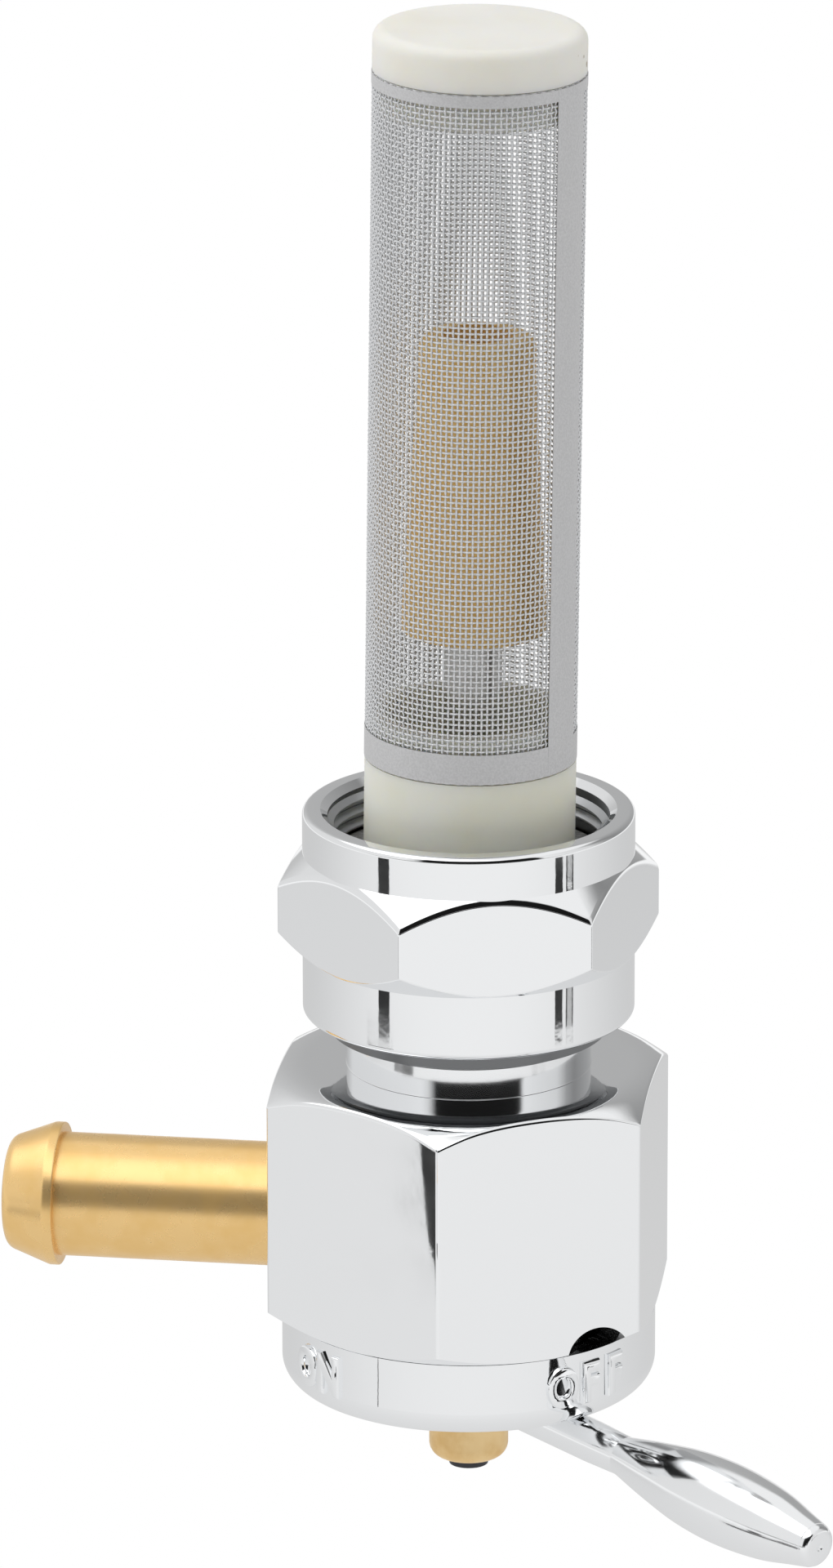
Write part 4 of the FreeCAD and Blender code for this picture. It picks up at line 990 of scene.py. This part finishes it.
# Rotor, inlet seat and gland washer: turned brass. The rotor's stem carries the cap and the lever, and its
# end shows under the cap, tarnished in patches.
STEM_BRIGHT = (1.0, 0.73, 0.37, 1)
STEM_DULL = (0.84, 0.54, 0.21, 1)

stem_brass = turned_brass(
    "stem_brass", "Z", STEM_BRIGHT, STEM_DULL, roughness=(0.3, 0.4), mark=4e-6, metal=0.3
)
for node in ("rotor", "inlet_seat", "gland_washer"):
    dress_node(node, stem_brass)

# Rubber rings and the port seal: moulded in black fuel-proof rubber. They are squeezed in their grooves and
# under the inlet seat, inside the body.
RUBBER_COLOUR = (0.02, 0.02, 0.021, 1)

rubber, tree, shader, place = start_material("black_rubber")
shader.inputs["Base Color"].default_value = RUBBER_COLOUR
patchy_roughness(tree, shader, place, 1500, 0.45, 0.65)
for node in ("seat_ring", "port_seal", "rotor_ring", "stem_ring"):
    dress_node(node, rubber)

# Lever cap: a turned cup, chrome plated, which turns with the lever round the body's boss. The words of the
# three positions stand up from its side.
LETTER_HEIGHT = 3.4 * MM
# width against the type's own, and degrees from one letter to the next
LETTER_WIDTH = 0.78
LETTER_STEP = 10.2
LETTER_LEVEL = -42.05 * MM
LETTER_RISE = 0.36 * MM
LETTER_SINK = 0.15 * MM
# round of a letter's edges and how much fatter it is drawn, as shares of the type size and of that round
LETTER_ROUND = 0.055
LETTER_FATTER = 0.4
CAP_RADIUS = 14.3 * MM
# each word and the azimuth of its middle in degrees
WORDS = [("ON", -134.5), ("OFF", -41.9), ("RES", 45.0)]

cap_chrome = chrome_plate("cap_chrome")[0]
dress_node("lever_cap", cap_chrome)


def letter_mesh(letter):
    """The mesh of a letter that lies flat and rises along Z, in the type's own size."""
    curve = bpy.data.curves.new("letter", "FONT")
    curve.body = letter
    curve.align_x = "CENTER"
    curve.extrude = LETTER_ROUND
    curve.bevel_depth = LETTER_ROUND
    curve.bevel_resolution = 2
    curve.offset = LETTER_ROUND * LETTER_FATTER
    curve.resolution_u = 6
    writer = bpy.data.objects.new("letter", curve)
    bpy.context.collection.objects.link(writer)
    graph = bpy.context.evaluated_depsgraph_get()
    mesh = bpy.data.meshes.new_from_object(writer.evaluated_get(graph))
    bpy.data.objects.remove(writer)
    bpy.data.curves.remove(curve)
    return mesh


for word, middle in WORDS:
    shape = bmesh.new()
    for index, letter in enumerate(word):
        count = len(shape.verts)
        flat = letter_mesh(letter)
        shape.from_mesh(flat)
        bpy.data.meshes.remove(flat)
        shape.verts.ensure_lookup_table()
        fresh = shape.verts[count:]
        low = min(vert.co.y for vert in fresh)
        high = max(vert.co.y for vert in fresh)
        left = min(vert.co.x for vert in fresh)
        right = max(vert.co.x for vert in fresh)
        scale = LETTER_HEIGHT / (high - low)
        azimuth = math.radians(middle + (index - (len(word) - 1) / 2) * LETTER_STEP)
        for vert in fresh:
            across = (vert.co.x - (left + right) / 2) * scale * LETTER_WIDTH
            level = (vert.co.y - (low + high) / 2) * scale + LETTER_LEVEL
            radius = CAP_RADIUS - LETTER_SINK
            if vert.co.z > 0:
                radius = CAP_RADIUS + LETTER_RISE * (vert.co.z / LETTER_ROUND - 1)
            turn = azimuth + across / CAP_RADIUS
            vert.co = (radius * math.cos(turn), radius * math.sin(turn), level)
    bmesh.ops.remove_doubles(shape, verts=shape.verts, dist=NEAR)
    bmesh.ops.recalc_face_normals(shape, faces=shape.faces)
    raised = finish_mesh(shape, "word_" + word.lower(), cap_chrome, smooth_below=30)
    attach(raised, "lever")

# Lever: turned in one piece and chrome plated, screwed into the stem through the cap's groove. A thin neck
# runs to a handle shaped like a torpedo, with a crisp waist between them and a centre mark in its end.
LEVER_LEVEL = -46.38 * MM
LEVER_AZIMUTH = math.radians(-38.5)
LEVER_DIP = math.radians(4.0)
LEVER_ROOT = -1.6 * MM
LEVER_NECK = (13.75 * MM, 1.62 * MM)
# how far along and how thick in millimetres, from the waist over the belly to the end
LEVER_STATIONS = [
    (17.25, 1.52), (20.75, 2.27), (24.75, 2.94), (28.8, 3.12), (33.1, 2.75), (36.2, 2.06), (38.25, 1.6),
]
LEVER_END_ROUND = 0.6 * MM
LEVER_END_SLOPE = 0.13
LEVER_END_STEPS = 8
LEVER_MARK = (0.3 * MM, 0.22 * MM)
LEVER_STEPS = 10
LEVER_ROUGHNESS = (0.1, 0.15)

lever_chrome = chrome_plate("lever_chrome", LEVER_ROUGHNESS)[0]
dress_node("lever", lever_chrome)


def smooth_through(points, steps):
    """Points of a smooth curve through given points, each tangent set by the neighbours on both sides."""
    slopes = []
    for index in range(len(points)):
        before = points[max(index - 1, 0)]
        after = points[min(index + 1, len(points) - 1)]
        slopes.append((after[1] - before[1]) / (after[0] - before[0]))
    curve = []
    for (start, low), (end, high), leave, reach in zip(points, points[1:], slopes, slopes[1:]):
        span = end - start
        for step in range(steps):
            t = step / steps
            value = (1 + 2 * t) * (1 - t) ** 2 * low + t * t * (3 - 2 * t) * high
            value += span * (t * (1 - t) ** 2 * leave - t * t * (1 - t) * reach)
            curve.append((start + span * t, value))
    return curve + [points[-1]]


stations = [(along * MM, radius * MM) for along, radius in LEVER_STATIONS]
end, end_radius = stations[-1]
flank = [point for point in smooth_through(stations, LEVER_STEPS) if point[0] < end - LEVER_END_ROUND]
outline = [(LEVER_ROOT, 0), (LEVER_ROOT, LEVER_NECK[1]), LEVER_NECK] + flank
outline += bend(
    (end - LEVER_END_ROUND, end_radius + LEVER_END_SLOPE * LEVER_END_ROUND), (end, end_radius),
    (end, end_radius - LEVER_END_ROUND), LEVER_END_STEPS,
)
outline += [(end, LEVER_MARK[0]), (end - LEVER_MARK[1], 0)]
aim = Matrix.Translation((0, 0, LEVER_LEVEL)) @ Matrix.Rotation(LEVER_AZIMUTH, 4, "Z")
aim = aim @ Matrix.Rotation(LEVER_DIP, 4, "Y")
turned_lever = finish_mesh(turned_shape(outline, aim), "turned_lever", lever_chrome, smooth_below=12)
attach(turned_lever, "lever")
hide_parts("lever")

# Lever screw: blackened steel without a head, screwed up the end of the stem against the lever. Only its end
# shows.
BLACK_STEEL_COLOUR = (0.06, 0.06, 0.065, 1)

black_steel, tree, shader, place = start_material("black_steel")
shader.inputs["Metallic"].default_value = 1.0
shader.inputs["Base Color"].default_value = BLACK_STEEL_COLOUR
patchy_roughness(tree, shader, place, 1200, 0.3, 0.5)
dress_node("lever_screw", black_steel)
